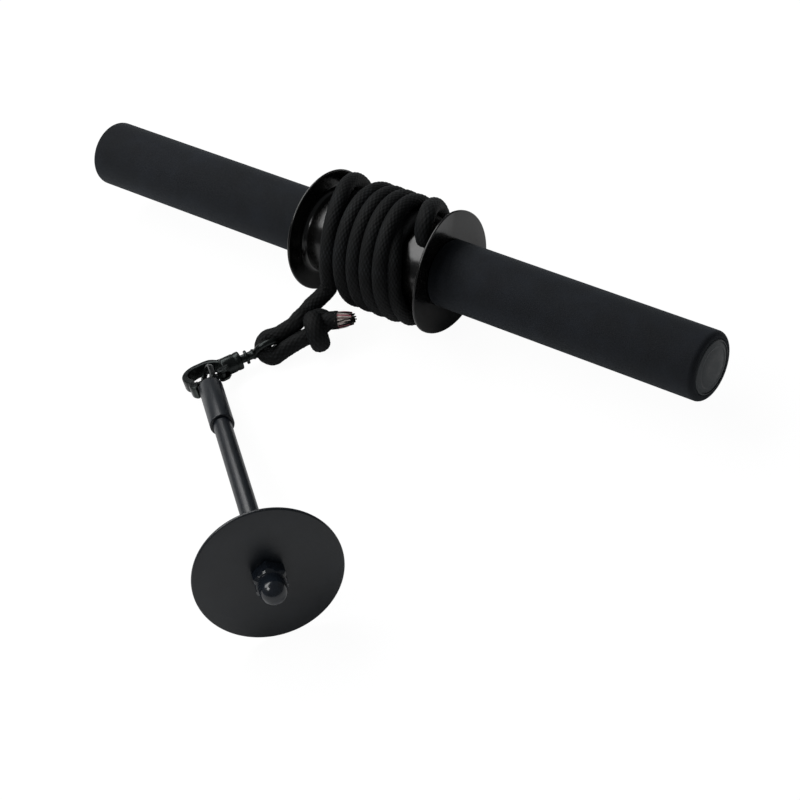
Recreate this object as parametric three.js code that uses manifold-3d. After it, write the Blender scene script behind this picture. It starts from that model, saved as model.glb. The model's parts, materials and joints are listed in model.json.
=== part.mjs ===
// Wrist roller: a foam-gripped bar with a rope spool in its middle. The rope ends in a knotted loop,
// which carries a swivel snap hook and a loading pin for weight plates.
//
// Millimetres, +Z up. The bar lies along X, and the rope, hook and loading pin lie on the floor in front
// of it, towards -Y. The origin is on the floor, below the middle of the whole object. Places are first
// given from the floor below the middle of the bar, and the last step moves the object back to its origin.

import * as THREE from "three";
import { mergeVertices } from "three/addons/utils/BufferGeometryUtils.js";
import Module from "manifold-3d";

const wasm = await Module();
wasm.setup();

const { PI, cos, sin, sqrt, hypot, asin, atan2 } = Math;
const rad = THREE.MathUtils.degToRad;
const point = (x, y, z) => new THREE.Vector3(x, y, z);

// General clearances and the roundness of turned pieces
const seatGap = 0.3;
const runningGap = 0.3;
const overrun = 2;
const fineSides = 48;
const smallSides = 24;

// Bar and grips
const barLength = 422;
const tubeDiameter = 25.4;
const tubeWall = 1.5;
const gripDiameter = 38;
const gripEdgeRadius = 3.1;
const plugHeadDiameter = 30;
const plugHeadThickness = 2.2;
const plugDomeHeight = 0.7;
const plugDomeShare = 0.8;
const plugStemLength = 18;
const plugStemWall = 2.2;

// Spool
const spoolWidth = 86;
const flangeDiameter = 70;
const flangeThickness = 1.6;
const flangeEdgeRadius = 0.6;
const drumDiameter = 46;
const drumWall = 1.6;
const hubLength = 12;
const hubWall = 2.6;
const lockPinDiameter = 5;

// Rope
const ropeDiameter = 8.6;
const innerTurnsWall = 3.86;
const windingPitch = 9.6;
const windingTurns = 4.85;
const windingExitX = -14.6;
const windingExitAngle = -12;
const windingLean = 8;
const windingLeanShare = 0.6;
const windingDrift = 12;
const windingFlat = 0.86;
const coreLeftFront = -19;
const coreLeftBack = -34;
const coreRightEnd = 32.5;
const anchorKnotDiameter = 13;
const ropeHoleDiameter = 9.6;

// Knotted loop in the rope's end
const leadBend = 4.8;
const knotDiameter = 24.4;
const knotWrapWidth = 10.7;
const knotBodyDiameter = 19.6;
const knotNeckDiameter = 12;
const knotLength = 19;
const wrapEndAngle = 30;
const knotX = -14.6;
const knotY = -52.8;
const knotHeight = 12.5;
const loopHalfWidth = 7.2;
const loopRoot = 4.6;
const tailDiameter = 10;
const tailRootX = -9.2;
const tailRootY = -45.4;
const tailRootHeight = 13.4;
const tailTipX = 1.2;
const tailTipY = -37.4;
const tailTipHeight = 15;

// Swivel eye: its centre, heading and slope place the snap hook on the floor
const eyeX = -33.7;
const eyeY = -73.7;
const eyeHeight = 8.3;
const hookHeading = -119.9;
const hookSlope = -3;
const swivelRoll = 60;
const eyeRingRadius = 7.15;
const eyeBarDiameter = 3.7;
const shankDiameter = 4.8;
const shoulderDiameter = 8;
const shoulderStart = 11.8;
const shoulderLength = 1.6;
const shankHeadDiameter = 7;
const shankHeadLength = 3;

// Snap hook, measured along its axis from the centre of the swivel eye
const barrelStart = 16;
const barrelLength = 12;
const barrelDiameter = 10.5;
const barrelEndWall = 2.4;
const bowCentre = 40.4;
const bowRadius = 9.8;
const bowThickness = 3.6;
const bowHeight = 6.2;
const bowRoll = 12;
const bowEndAngle = 46;
const bowOuterEndAngle = 38;
const bowEdge = 0.8;
const noseWidth = 3;
const noseFlare = 5.2;
const noseLip = 1.4;
const gateThickness = 2.6;
const gateHeight = 3;
const gatePinDiameter = 2;
const lugHeight = 6.6;
const lugWidth = 4.8;
const lugStartAngle = -60;
const pivotSetback = 1.2;
const gateTailWall = 1.2;
const gateTailAngle = 110;

// Loading pin, measured along its axis from the centre of its eye towards the load disc
const pinEyeX = -47.8;
const pinEyeY = -108.6;
const pinEyeHeight = 8;
const pinHeading = -37.6;
const pinRoll = 58;
const pinReach = 188;
const rodDiameter = 10;
const sleeveLength = 40;
const sleeveWall = 1.35;
const eyePlateWidth = 14;
const eyePlateThickness = 3;
const eyeHoleWidth = 9.4;
const eyeHoleLength = 13.8;
const eyeTipWall = 2.3;
const eyeShoulderWall = 2.9;
const tangWidth = 9.2;
const tangLength = 9;
const discDiameter = 75;
const discThickness = 2;
const discEdgeRadius = 0.7;
const jamNutThickness = 5;
const nutWidth = 16;
const nutHexLength = 8;
const nutDomeRadius = 6.9;
const nutLength = 20.3;
const nutBoreLength = 12;

// Sizes that follow from the ones above
const tubeRadius = tubeDiameter / 2;
const gripRadius = gripDiameter / 2;
const ropeRadius = ropeDiameter / 2;
const drumRadius = drumDiameter / 2;
const coreInner = drumRadius + seatGap;
const coreOuter = coreInner + innerTurnsWall;
const loopSteps = 24;
const windingRadius = (coreOuter + seatGap) / cos(PI / loopSteps) + ropeRadius;
const windingOuter = windingRadius + ropeRadius;
const axisHeight = windingOuter - windingFlat;
const plateFace = spoolWidth / 2;
const drumHalf = plateFace - flangeThickness - seatGap;
const knotPlace = point(knotX, knotY, knotHeight);
const tailRoot = point(tailRootX, tailRootY, tailRootHeight);
const tailTip = point(tailTipX, tailTipY, tailTipHeight);
const eyePlace = point(eyeX, eyeY, eyeHeight);
const pinEyePlace = point(pinEyeX, pinEyeY, pinEyeHeight);

// Materials
const finish = (color, roughness, metalness) =>
  new THREE.MeshStandardMaterial({ color, roughness, metalness });
const foam = finish(0x1b1e22, 0.85, 0);
const plugPlastic = finish(0x34383c, 0.6, 0);
const blackEnamel = finish(0x0c0d0e, 0.15, 0.3);
const satinBlack = finish(0x26292c, 0.35, 0.4);
const bareSteel = finish(0x8f9294, 0.35, 0.9);
const braidedRope = finish(0x101213, 0.8, 0);
const frayedRope = finish(0xb8a8a4, 0.9, 0);
const blackZinc = finish(0x17191b, 0.3, 0.6);
const springSteel = finish(0xa0a3a5, 0.3, 1);

// Geometry to solid and back, for the cuts and joins
function toSolid(geometry) {
  const bare = geometry.clone();
  bare.deleteAttribute("normal");
  bare.deleteAttribute("uv");
  const merged = mergeVertices(bare);
  return new wasm.Manifold(
    new wasm.Mesh({
      numProp: 3,
      vertProperties: new Float32Array(merged.attributes.position.array),
      triVerts: new Uint32Array(merged.index.array),
    }),
  );
}

function toGeometry(solid) {
  const made = solid.getMesh();
  return new THREE.BufferGeometry()
    .setAttribute("position", new THREE.BufferAttribute(made.vertProperties, 3))
    .setIndex(new THREE.BufferAttribute(made.triVerts, 1));
}

function addPiece(parent, name, shape, material) {
  const geometry = shape.isBufferGeometry ? shape : toGeometry(shape);
  const piece = new THREE.Mesh(geometry, material);
  piece.name = name;
  parent.add(piece);
  return piece;
}

// A body turned about X, from points of [place along X, radius]
function turnedX(outline, sides = fineSides) {
  const profile = outline.map(([x, r]) => new THREE.Vector2(r, x));
  return new THREE.LatheGeometry(profile, sides).rotateZ(-PI / 2);
}

// A solid or bored cylinder along X
function cylinderX(start, end, radius, sides = smallSides) {
  return turnedX([[start, 0], [start, radius], [end, radius], [end, 0]], sides);
}

function tubeX(start, end, outer, inner, sides = fineSides) {
  return turnedX([[start, inner], [start, outer], [end, outer], [end, inner], [start, inner]], sides);
}

// A quarter round of an outline's corner, from one angle to another
function roundedCorner(centreX, centreR, radius, from, to, steps = 4) {
  const corner = [];
  for (let i = 0; i <= steps; i++) {
    const turn = rad(from + ((to - from) * i) / steps);
    corner.push([centreX + radius * cos(turn), centreR + radius * sin(turn)]);
  }
  return corner;
}

// A tube of round section along a curve
function tubeAlong(points, diameter, sides, steps) {
  const section = new THREE.Shape();
  for (let i = 0; i < sides; i++) {
    const turn = (2 * PI * i) / sides;
    const [x, y] = [(diameter / 2) * cos(turn), (diameter / 2) * sin(turn)];
    if (i === 0) section.moveTo(x, y);
    else section.lineTo(x, y);
  }
  section.closePath();
  const path = new THREE.CatmullRomCurve3(points, false, "centripetal");
  return new THREE.ExtrudeGeometry(section, { extrudePath: path, steps, bevelEnabled: false });
}

// A flat piece cut from an outline and its holes, centred on its own thickness along Z
function plate(outline, thickness, holes = [], curveSegments = 12) {
  const shape = new THREE.Shape(outline);
  shape.holes = holes.map((hole) => new THREE.Path(hole));
  return new THREE.ExtrudeGeometry(shape, { depth: thickness, bevelEnabled: false, curveSegments })
    .translate(0, 0, -thickness / 2);
}

function arcPoints(x, y, radius, from, to, steps) {
  const points = [];
  for (let i = 0; i <= steps; i++) {
    const turn = rad(from + ((to - from) * i) / steps);
    points.push(new THREE.Vector2(x + radius * cos(turn), y + radius * sin(turn)));
  }
  return points;
}

function hexagonX(start, end, width) {
  const corner = width / 2 / cos(PI / 6);
  return new THREE.CylinderGeometry(corner, corner, end - start, 6)
    .rotateZ(-PI / 2)
    .translate((start + end) / 2, 0, 0);
}

// A frame whose X runs along a heading and slope, rolled about that X
function aimedFrame(place, turn, slope, roll) {
  const frame = new THREE.Group();
  frame.position.copy(place);
  frame.rotation.order = "ZYX";
  frame.rotation.set(rad(roll), -rad(slope), rad(turn));
  return frame;
}

const roller = new THREE.Group();
const bar = new THREE.Group();
bar.position.z = axisHeight;
roller.add(bar);

// Bar tube, with a hole for the lock pin
const tubeHalf = barLength / 2 - plugHeadThickness;
const lockPinPlace = -drumHalf + hubLength / 2;
const lockPinHole = new THREE.CylinderGeometry(
  lockPinDiameter / 2 + seatGap, lockPinDiameter / 2 + seatGap, drumDiameter, smallSides)
  .rotateX(PI / 2)
  .translate(lockPinPlace, 0, 0);
const barTube = toSolid(tubeX(-tubeHalf, tubeHalf, tubeRadius, tubeRadius - tubeWall))
  .subtract(toSolid(lockPinHole));
addPiece(bar, "bar_tube", barTube, bareSteel);

// Foam grips: round outer edges, and a recess for the end plug's head
function grip(name, side) {
  const inner = plateFace + seatGap;
  const outer = barLength / 2;
  const bore = tubeRadius + seatGap;
  const recess = plugHeadDiameter / 2 + seatGap;
  const floor = outer - plugHeadThickness - seatGap;
  const outline = [
    [inner, bore],
    [floor, bore],
    [floor, recess],
    [outer, recess],
    ...roundedCorner(outer - gripEdgeRadius, gripRadius - gripEdgeRadius, gripEdgeRadius, 0, 90),
    [inner, gripRadius],
    [inner, bore],
  ];
  const sleeve = turnedX(outline.reverse());
  if (side < 0) sleeve.rotateZ(PI);
  addPiece(bar, name, sleeve, foam);
}

// End plugs: a domed head on the tube's end, and a hollow stem inside the tube
function endPlug(name, side) {
  const seat = tubeHalf + seatGap;
  const rim = plugHeadDiameter / 2;
  const stem = tubeRadius - tubeWall - seatGap;
  const outline = [
    [seat + plugHeadThickness + plugDomeHeight, 0],
    [seat + plugHeadThickness + plugDomeShare * plugDomeHeight, rim / 2],
    [seat + plugHeadThickness, rim],
    [seat, rim],
    [seat, stem],
    [seat - plugStemLength, stem],
    [seat - plugStemLength, stem - plugStemWall],
    [seat, stem - plugStemWall],
    [seat, 0],
  ];
  const plug = turnedX(outline.reverse());
  if (side < 0) plug.rotateZ(PI);
  addPiece(bar, name, plug, plugPlastic);
}

for (const [label, side] of [["left", -1], ["right", 1]]) {
  grip(`${label}_grip`, side);
  endPlug(`${label}_end_plug`, side);
}

// Spool: a drum between two thin round flanges, whose hubs sit inside the drum
const ropeHole = new THREE.CylinderGeometry(
  ropeHoleDiameter / 2, ropeHoleDiameter / 2, drumDiameter, smallSides)
  .rotateX(PI / 2)
  .translate(0, 0, drumDiameter / 2);
const drum = toSolid(tubeX(-drumHalf, drumHalf, drumRadius, drumRadius - drumWall))
  .subtract(toSolid(ropeHole));
addPiece(bar, "spool_drum", drum, blackEnamel);

function flange(name, side) {
  const bore = tubeRadius + seatGap;
  const hub = drumRadius - drumWall - seatGap;
  const inner = plateFace - flangeThickness;
  const rim = flangeDiameter / 2;
  const outline = [
    [plateFace, bore],
    ...roundedCorner(plateFace - flangeEdgeRadius, rim - flangeEdgeRadius, flangeEdgeRadius, 0, 90, 3),
    ...roundedCorner(inner + flangeEdgeRadius, rim - flangeEdgeRadius, flangeEdgeRadius, 90, 180, 3),
    [inner, hub],
    [inner - hubLength, hub],
    [inner - hubLength, hub - hubWall],
    [inner, hub - hubWall],
    [inner, bore],
    [plateFace, bore],
  ];
  const disc = turnedX(outline.reverse());
  if (side < 0) disc.rotateZ(PI);
  addPiece(bar, name, toSolid(disc).subtract(toSolid(lockPinHole)), blackEnamel);
}
flange("left_flange", -1);
flange("right_flange", 1);

const lockPinReach = drumRadius - drumWall - seatGap;
const lockPinLength = 2 * sqrt(lockPinReach ** 2 - (lockPinDiameter / 2) ** 2);
const lockPin = new THREE.CylinderGeometry(
  lockPinDiameter / 2, lockPinDiameter / 2, lockPinLength, smallSides)
  .rotateX(PI / 2)
  .translate(lockPinPlace, 0, 0);
addPiece(bar, "spool_lock_pin", lockPin, bareSteel);

const sectionSides = 6;

// Rope on the drum: the inner turns are one plain sleeve, whose left end slants with the last turn
const slant = new THREE.BoxGeometry(drumDiameter, 3 * drumDiameter, 3 * drumDiameter)
  .translate(-drumDiameter / 2, 0, 0)
  .rotateZ(atan2(coreLeftFront - coreLeftBack, 2 * coreOuter))
  .translate((coreLeftFront + coreLeftBack) / 2, 0, 0);
const core = toSolid(tubeX(coreLeftBack, coreRightEnd, coreOuter, coreInner)).subtract(toSolid(slant));
addPiece(bar, "rope_inner_turns", core, braidedRope);

// The outer layer winds from the lead's exit in front over the top. Each turn leans to the left at the
// back, and the last one wanders further left there, towards the flange.
function windingPlace(turns) {
  const angle = rad(windingExitAngle) + 2 * PI * turns;
  const share = 1 - (windingLeanShare * turns) / windingTurns;
  const lean = windingLean * share * sin(PI * turns) ** 2;
  const drift = turns < 1 ? windingDrift * sin(PI * turns) ** 6 : 0;
  return point(
    windingExitX + windingPitch * turns - lean - drift,
    -windingRadius * cos(angle),
    windingRadius * sin(angle),
  );
}

function windingPoints() {
  const points = [];
  const steps = Math.round(windingTurns * loopSteps);
  for (let i = 0; i <= steps; i++) points.push(windingPlace(i / loopSteps));
  const run = points[steps].clone().sub(points[steps - 1]).normalize();
  points.push(points[steps].clone().addScaledVector(run, ropeDiameter));
  return points;
}

// A tube through points, each ring square to the path, with closed ends
function sweptTube(points, radius, sides) {
  const positions = [];
  const faces = [];
  points.forEach((place, i) => {
    const before = points[Math.max(i - 1, 0)];
    const after = points[Math.min(i + 1, points.length - 1)];
    const along = after.clone().sub(before).normalize();
    const outward = point(0, place.y, place.z).normalize();
    const across = outward.clone().cross(along).normalize();
    const up = along.clone().cross(across);
    for (let k = 0; k < sides; k++) {
      const turn = (2 * PI * (k + 0.5)) / sides;
      const spot = place.clone()
        .addScaledVector(across, radius * cos(turn))
        .addScaledVector(up, radius * sin(turn));
      positions.push(spot.x, spot.y, spot.z);
    }
  });
  const last = (points.length - 1) * sides;
  for (let i = 0; i < points.length - 1; i++) {
    for (let k = 0; k < sides; k++) {
      const [a, b] = [i * sides + k, i * sides + ((k + 1) % sides)];
      faces.push(a, b, b + sides, a, b + sides, a + sides);
    }
  }
  for (let k = 1; k < sides - 1; k++) {
    faces.push(0, k + 1, k);
    faces.push(last, last + k, last + k + 1);
  }
  return new THREE.BufferGeometry()
    .setAttribute("position", new THREE.Float32BufferAttribute(positions, 3))
    .setIndex(faces);
}

// The least gap between two turns, from points of the path over half a turn apart
function leastGap(points, diameter) {
  let least = Infinity;
  for (let i = 0; i < points.length; i++) {
    for (let j = i + loopSteps / 2; j < points.length; j++) {
      least = Math.min(least, points[i].distanceTo(points[j]) - diameter);
    }
  }
  return least;
}

const woundPoints = windingPoints();
console.log("least gap of the rope winding to itself, mm", leastGap(woundPoints, ropeDiameter).toFixed(2));
const floorCut = new THREE.BoxGeometry(3 * spoolWidth, 3 * windingOuter, windingOuter)
  .translate(0, 0, -axisHeight - windingOuter / 2);
const wound = toSolid(sweptTube(woundPoints, ropeRadius, sectionSides)).subtract(toSolid(floorCut));
addPiece(bar, "rope_winding", wound, braidedRope);

// The stopper knot that holds the rope's inner end behind the drum's hole
const anchorRoom = (drumRadius - drumWall - tubeRadius) / 2;
const anchor = new THREE.SphereGeometry(1, smallSides, smallSides / 2)
  .scale(anchorKnotDiameter / 2, anchorKnotDiameter / 2, anchorRoom - seatGap)
  .translate(0, 0, tubeRadius + anchorRoom);
addPiece(bar, "rope_anchor_knot", anchor, braidedRope);

// Knot: a wrap of rope across the two strands of the loop. The lead and the tail are cut to its shape,
// grown by the gap between them.
const loopAxis = eyePlace.clone().sub(knotPlace).normalize();
const knotFrame = new THREE.Group();
knotFrame.position.copy(knotPlace);
knotFrame.quaternion.setFromUnitVectors(point(1, 0, 0), loopAxis);
roller.add(knotFrame);
knotFrame.updateMatrixWorld(true);
const wrapHalf = knotWrapWidth / 2;
const wrapCentre = knotDiameter / 2 - wrapHalf;

function knotShape(grow) {
  const half = knotLength / 2 + grow;
  const body = knotBodyDiameter / 2 + grow;
  return turnedX([
    [-half, 0],
    [-half, knotNeckDiameter / 2 + grow],
    [-wrapHalf - grow, body - knotWrapWidth / 8],
    ...roundedCorner(0, wrapCentre, wrapHalf + grow, 180 - wrapEndAngle, wrapEndAngle, 8),
    [wrapHalf + grow, body],
    [half, body],
    [half, 0],
  ], smallSides);
}
addPiece(knotFrame, "rope_knot", knotShape(0), braidedRope);
const knotClear = toSolid(knotShape(seatGap).applyMatrix4(knotFrame.matrixWorld));

// The lead bends out of the winding about a round end and runs down to the knot
const exitPlace = windingPlace(0).add(point(0, 0, axisHeight));
const exitRun = windingPlace(0).sub(windingPlace(1 / loopSteps)).setX(0).normalize();
const bendPlace = exitPlace.clone().addScaledVector(exitRun, leadBend);
const ropeSides = 10;
const leadBall = new THREE.SphereGeometry(ropeRadius, 12, 8).translate(...bendPlace);
const leadTube = (diameter) => toSolid(tubeAlong([bendPlace, knotPlace], diameter, ropeSides, 2));
const lead = leadTube(ropeDiameter)
  .add(toSolid(leadBall))
  .subtract(knotClear);
addPiece(roller, "rope_lead", lead, braidedRope);

// The loop of rope that runs from the knot through the swivel eye and back
const swivel = aimedFrame(eyePlace, hookHeading, hookSlope, swivelRoll);
roller.add(swivel);
swivel.updateMatrixWorld(true);
const loopSide = point(0, 0, 1).transformDirection(swivel.matrixWorld);
loopSide.addScaledVector(loopAxis, -loopSide.dot(loopAxis)).normalize();
const bulbPlace = eyePlace.clone().addScaledVector(loopAxis, -loopHalfWidth);
const loopFoot = knotPlace.clone().addScaledVector(loopAxis, knotLength / 2 + seatGap);
const loopFootStraight = loopFoot.clone().addScaledVector(loopAxis, ropeRadius / 2);
const loopPoints = [
  loopFoot.clone().addScaledVector(loopSide, loopRoot),
  loopFootStraight.clone().addScaledVector(loopSide, loopRoot),
];
for (let i = 0; i <= 12; i++) {
  const turn = PI / 2 - (PI * i) / 12;
  loopPoints.push(bulbPlace.clone()
    .addScaledVector(loopSide, loopHalfWidth * sin(turn))
    .addScaledVector(loopAxis, loopHalfWidth * cos(turn)));
}
loopPoints.push(
  loopFootStraight.clone().addScaledVector(loopSide, -loopRoot),
  loopFoot.clone().addScaledVector(loopSide, -loopRoot),
);
addPiece(roller, "rope_loop", tubeAlong(loopPoints, ropeDiameter, ropeSides, 30), braidedRope);

// The cut end of the rope, frayed at its tip
const tail = toSolid(tubeAlong([tailRoot, tailTip], tailDiameter, ropeSides, 3))
  .subtract(knotClear)
  .subtract(leadTube(ropeDiameter + 2 * seatGap));
addPiece(roller, "rope_tail", tail, frayedRope);

// Swivel eye: a ring round the rope, on a shank whose head turns inside the hook's barrel
const shankEnd = barrelStart + barrelEndWall + seatGap + shankHeadLength;
const shank = turnedX([
  [eyeRingRadius, 0],
  [eyeRingRadius, shankDiameter / 2],
  [shoulderStart, shankDiameter / 2],
  [shoulderStart, shoulderDiameter / 2],
  [shoulderStart + shoulderLength, shoulderDiameter / 2],
  [shoulderStart + shoulderLength, shankDiameter / 2],
  [shankEnd - shankHeadLength, shankDiameter / 2],
  [shankEnd - shankHeadLength, shankHeadDiameter / 2],
  [shankEnd, shankHeadDiameter / 2],
  [shankEnd, 0],
], smallSides);
const eyeRing = new THREE.TorusGeometry(eyeRingRadius, eyeBarDiameter / 2, 12, fineSides);
addPiece(swivel, "swivel_eye", toSolid(shank).add(toSolid(eyeRing)), blackZinc);

// Hook body: barrel, bow with its flared nose, and the lug that carries the gate
const hook = aimedFrame(eyePlace, hookHeading, hookSlope, bowRoll);
roller.add(hook);
const barrelEnd = barrelStart + barrelLength;
const barrelRadius = barrelDiameter / 2;
const gateY = bowRadius - noseLip - seatGap - gateThickness / 2;
const gatePivot = barrelEnd + pivotSetback;
const headRoom = shankHeadDiameter / 2 + runningGap;
const barrelCavity = turnedX([
  [barrelStart - overrun, 0],
  [barrelStart - overrun, shankDiameter / 2 + runningGap],
  [barrelStart + barrelEndWall, shankDiameter / 2 + runningGap],
  [barrelStart + barrelEndWall, headRoom],
  [shankEnd + runningGap, headRoom],
  [shankEnd + runningGap, 0],
], smallSides);
const barrel = turnedX([
  [barrelStart, 0],
  [barrelStart, barrelRadius - bowEdge],
  [barrelStart + bowEdge, barrelRadius],
  [barrelEnd - bowEdge, barrelRadius],
  [barrelEnd, barrelRadius - bowEdge],
  [barrelEnd, 0],
], smallSides);

const bowInner = bowRadius - bowThickness;
const bowRoot = barrelEnd - bowThickness;
const noseStart = bowCentre + bowInner * cos(rad(bowEndAngle));
const noseOut = bowRadius + noseFlare;
const gateTip = noseStart;
const bowOutline = [
  new THREE.Vector2(bowRoot, -barrelRadius + bowThickness),
  new THREE.Vector2(bowRoot, -barrelRadius + bowEdge),
  new THREE.Vector2(barrelEnd, -barrelRadius),
  new THREE.Vector2(barrelEnd + bowThickness, -bowRadius + bowEdge),
  new THREE.Vector2(barrelEnd + 2 * bowThickness, -bowRadius),
  ...arcPoints(bowCentre, 0, bowRadius, -90, bowOuterEndAngle, 16),
  new THREE.Vector2(noseStart + noseWidth + noseLip, bowRadius + noseFlare / 3),
  new THREE.Vector2(noseStart + noseWidth, noseOut - noseLip / 2),
  new THREE.Vector2(noseStart + noseWidth / 3, noseOut),
  new THREE.Vector2(noseStart - noseLip, bowRadius - noseLip + noseWidth / 2),
  new THREE.Vector2(noseStart - noseLip, bowRadius - noseLip),
  new THREE.Vector2(noseStart + runningGap, bowRadius - noseLip),
  ...arcPoints(bowCentre, 0, bowInner, bowEndAngle, -90, 14),
  new THREE.Vector2(barrelEnd + 2 * bowThickness, -bowInner),
  new THREE.Vector2(barrelEnd, -barrelRadius + bowThickness),
];
const gateSlot = gateHeight + 2 * runningGap;
const lugRadius = lugWidth / 2;
const lugY = gateY;
const lugOutline = [
  new THREE.Vector2(barrelEnd - bowThickness, lugY - lugRadius),
  new THREE.Vector2(gatePivot, lugY - lugRadius),
  ...arcPoints(gatePivot, lugY, lugRadius, lugStartAngle, 90, 8),
  new THREE.Vector2(barrelEnd - bowThickness, lugY),
];
const gateTailRadius = gateThickness / 2 + gateTailWall / 2;
const slotRadius = lugRadius + overrun;
const slotCut = new THREE.CylinderGeometry(slotRadius, slotRadius, gateSlot, smallSides)
  .rotateX(PI / 2)
  .translate(gatePivot + slotRadius - gateTailRadius - runningGap - gateTailWall, lugY, 0);
const gatePinCut = new THREE.CylinderGeometry(
  gatePinDiameter / 2 + seatGap, gatePinDiameter / 2 + seatGap, lugHeight + 2 * overrun, smallSides)
  .rotateX(PI / 2)
  .translate(gatePivot, lugY, 0);
const hookBody = toSolid(barrel)
  .add(toSolid(plate(bowOutline, bowHeight)))
  .add(toSolid(plate(lugOutline, lugHeight)))
  .subtract(toSolid(barrelCavity))
  .subtract(toSolid(slotCut))
  .subtract(toSolid(gatePinCut));
addPiece(hook, "hook_body", hookBody, blackZinc);

// Gate: a bar from the lug to the inside of the nose, on a pin through the lug
const gateHalf = gateThickness / 2;
const gateOutline = [
  ...arcPoints(gatePivot, gateY, gateTailRadius, 180 - gateTailAngle, 180 + gateTailAngle, 12),
  new THREE.Vector2(gatePivot + 2 * gateThickness, gateY - gateHalf),
  new THREE.Vector2(gateTip - gateHalf, gateY - gateHalf),
  new THREE.Vector2(gateTip, gateY),
  new THREE.Vector2(gateTip, gateY + gateHalf),
  new THREE.Vector2(gatePivot + 2 * gateThickness, gateY + gateHalf),
];
const gateBore = new THREE.CylinderGeometry(
  gatePinDiameter / 2 + runningGap, gatePinDiameter / 2 + runningGap, lugHeight, smallSides)
  .rotateX(PI / 2)
  .translate(gatePivot, gateY, 0);
const gate = toSolid(plate(gateOutline, gateHeight)).subtract(toSolid(gateBore));
addPiece(hook, "hook_gate", gate, blackZinc);
const gatePin = new THREE.CylinderGeometry(
  gatePinDiameter / 2, gatePinDiameter / 2, lugHeight, smallSides)
  .rotateX(PI / 2)
  .translate(gatePivot, gateY, 0);
addPiece(hook, "gate_pin", gatePin, bareSteel);

// Loading pin: sloped so that the disc's rim and the floor meet
const discRadius = discDiameter / 2;
const pinSpan = hypot(pinReach, discRadius);
const pinSlope = THREE.MathUtils.radToDeg(atan2(discRadius, pinReach) - asin(pinEyePlace.z / pinSpan));
const pin = aimedFrame(pinEyePlace, pinHeading, pinSlope, pinRoll);
roller.add(pin);

// Eye: a flat bar with an oval hole, and a tang inside the sleeve
const eyeHalf = eyePlateWidth / 2;
const holeHalf = eyeHoleWidth / 2;
const holeReach = eyeHoleLength / 2;
const eyeTip = -holeReach - eyeTipWall;
const sleeveStart = holeReach + eyeShoulderWall;
const eyeShoulder = sleeveStart - seatGap;
const tangEnd = sleeveStart + tangLength;
const eyeOutline = [
  ...arcPoints(eyeTip + eyeHalf, 0, eyeHalf, 90, 270, 20),
  new THREE.Vector2(eyeShoulder, -eyeHalf),
  new THREE.Vector2(eyeShoulder, -tangWidth / 2),
  new THREE.Vector2(tangEnd, -tangWidth / 2),
  new THREE.Vector2(tangEnd, tangWidth / 2),
  new THREE.Vector2(eyeShoulder, tangWidth / 2),
  new THREE.Vector2(eyeShoulder, eyeHalf),
];
const eyeHole = [
  ...arcPoints(-holeReach + holeHalf, 0, holeHalf, 270, 90, 12),
  ...arcPoints(holeReach - holeHalf, 0, holeHalf, 90, -90, 12),
];
addPiece(pin, "pin_eye", plate(eyeOutline, eyePlateThickness, [eyeHole]), blackZinc);

// Sleeve over the eye's tang and the rod's end
const sleeveInner = rodDiameter / 2 + seatGap;
const sleeveEnd = sleeveStart + sleeveLength;
addPiece(pin, "pin_sleeve",
  tubeX(sleeveStart, sleeveEnd, sleeveInner + sleeveWall, sleeveInner), satinBlack);

// Rod, load disc and the two nuts that clamp it
const nutFace = pinReach + discThickness + seatGap;
const rodEnd = nutFace + nutBoreLength - seatGap;
addPiece(pin, "pin_rod",
  cylinderX(tangEnd + seatGap, rodEnd, rodDiameter / 2, fineSides), satinBlack);

// The disc's face is a plate's seat, from the circle that the jam nut covers out to its edge
const threadBore = rodDiameter / 2 + seatGap;
const nutCorner = nutWidth / 2 / cos(PI / 6);
const discOutline = [
  [pinReach, threadBore],
  [pinReach, nutCorner + seatGap],
  ...roundedCorner(pinReach + discEdgeRadius, discRadius - discEdgeRadius, discEdgeRadius, 180, 90, 3),
  ...roundedCorner(
    pinReach + discThickness - discEdgeRadius, discRadius - discEdgeRadius, discEdgeRadius, 90, 0, 3),
  [pinReach + discThickness, threadBore],
  [pinReach, threadBore],
];
addPiece(pin, "load_disc", turnedX(discOutline, 2 * fineSides), satinBlack);

const jamNutEnd = pinReach - seatGap;
const jamNut = toSolid(hexagonX(jamNutEnd - jamNutThickness, jamNutEnd, nutWidth))
  .subtract(toSolid(cylinderX(jamNutEnd - jamNutThickness - overrun, jamNutEnd + overrun, threadBore)));
addPiece(pin, "disc_jam_nut", jamNut, blackZinc);

const domeStart = nutFace + nutHexLength;
const dome = turnedX([
  [domeStart - overrun, 0],
  [domeStart - overrun, nutDomeRadius],
  ...roundedCorner(nutFace + nutLength - nutDomeRadius, 0, nutDomeRadius, 90, 0, 8),
], smallSides);
const acornNut = toSolid(hexagonX(nutFace, domeStart, nutWidth))
  .add(toSolid(dome))
  .subtract(toSolid(cylinderX(nutFace - overrun, nutFace + nutBoreLength, threadBore)));
addPiece(pin, "acorn_nut", acornNut, satinBlack);

// Centre the object on its origin
roller.updateMatrixWorld(true);
roller.position.y = -new THREE.Box3().setFromObject(roller, true).getCenter(point(0, 0, 0)).y;

export default roller;
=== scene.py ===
# %% [markdown]
# A wrist roller: a bar with two foam grips and a rope spool in its middle. The rope's free end is
# knotted round the eye of a swivel snap hook, and the hook carries a loading pin for weight plates.
# The CAD parts come in as a fixed frame. Every turned, cast or braided piece is then made again with
# finer shapes and real finishes, in the same place, and rides on the body that it belongs to.

# %% Load the frame
import json
import math
import random

import bmesh
import bpy
import numpy as np
from mathutils import Matrix, Vector

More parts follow.
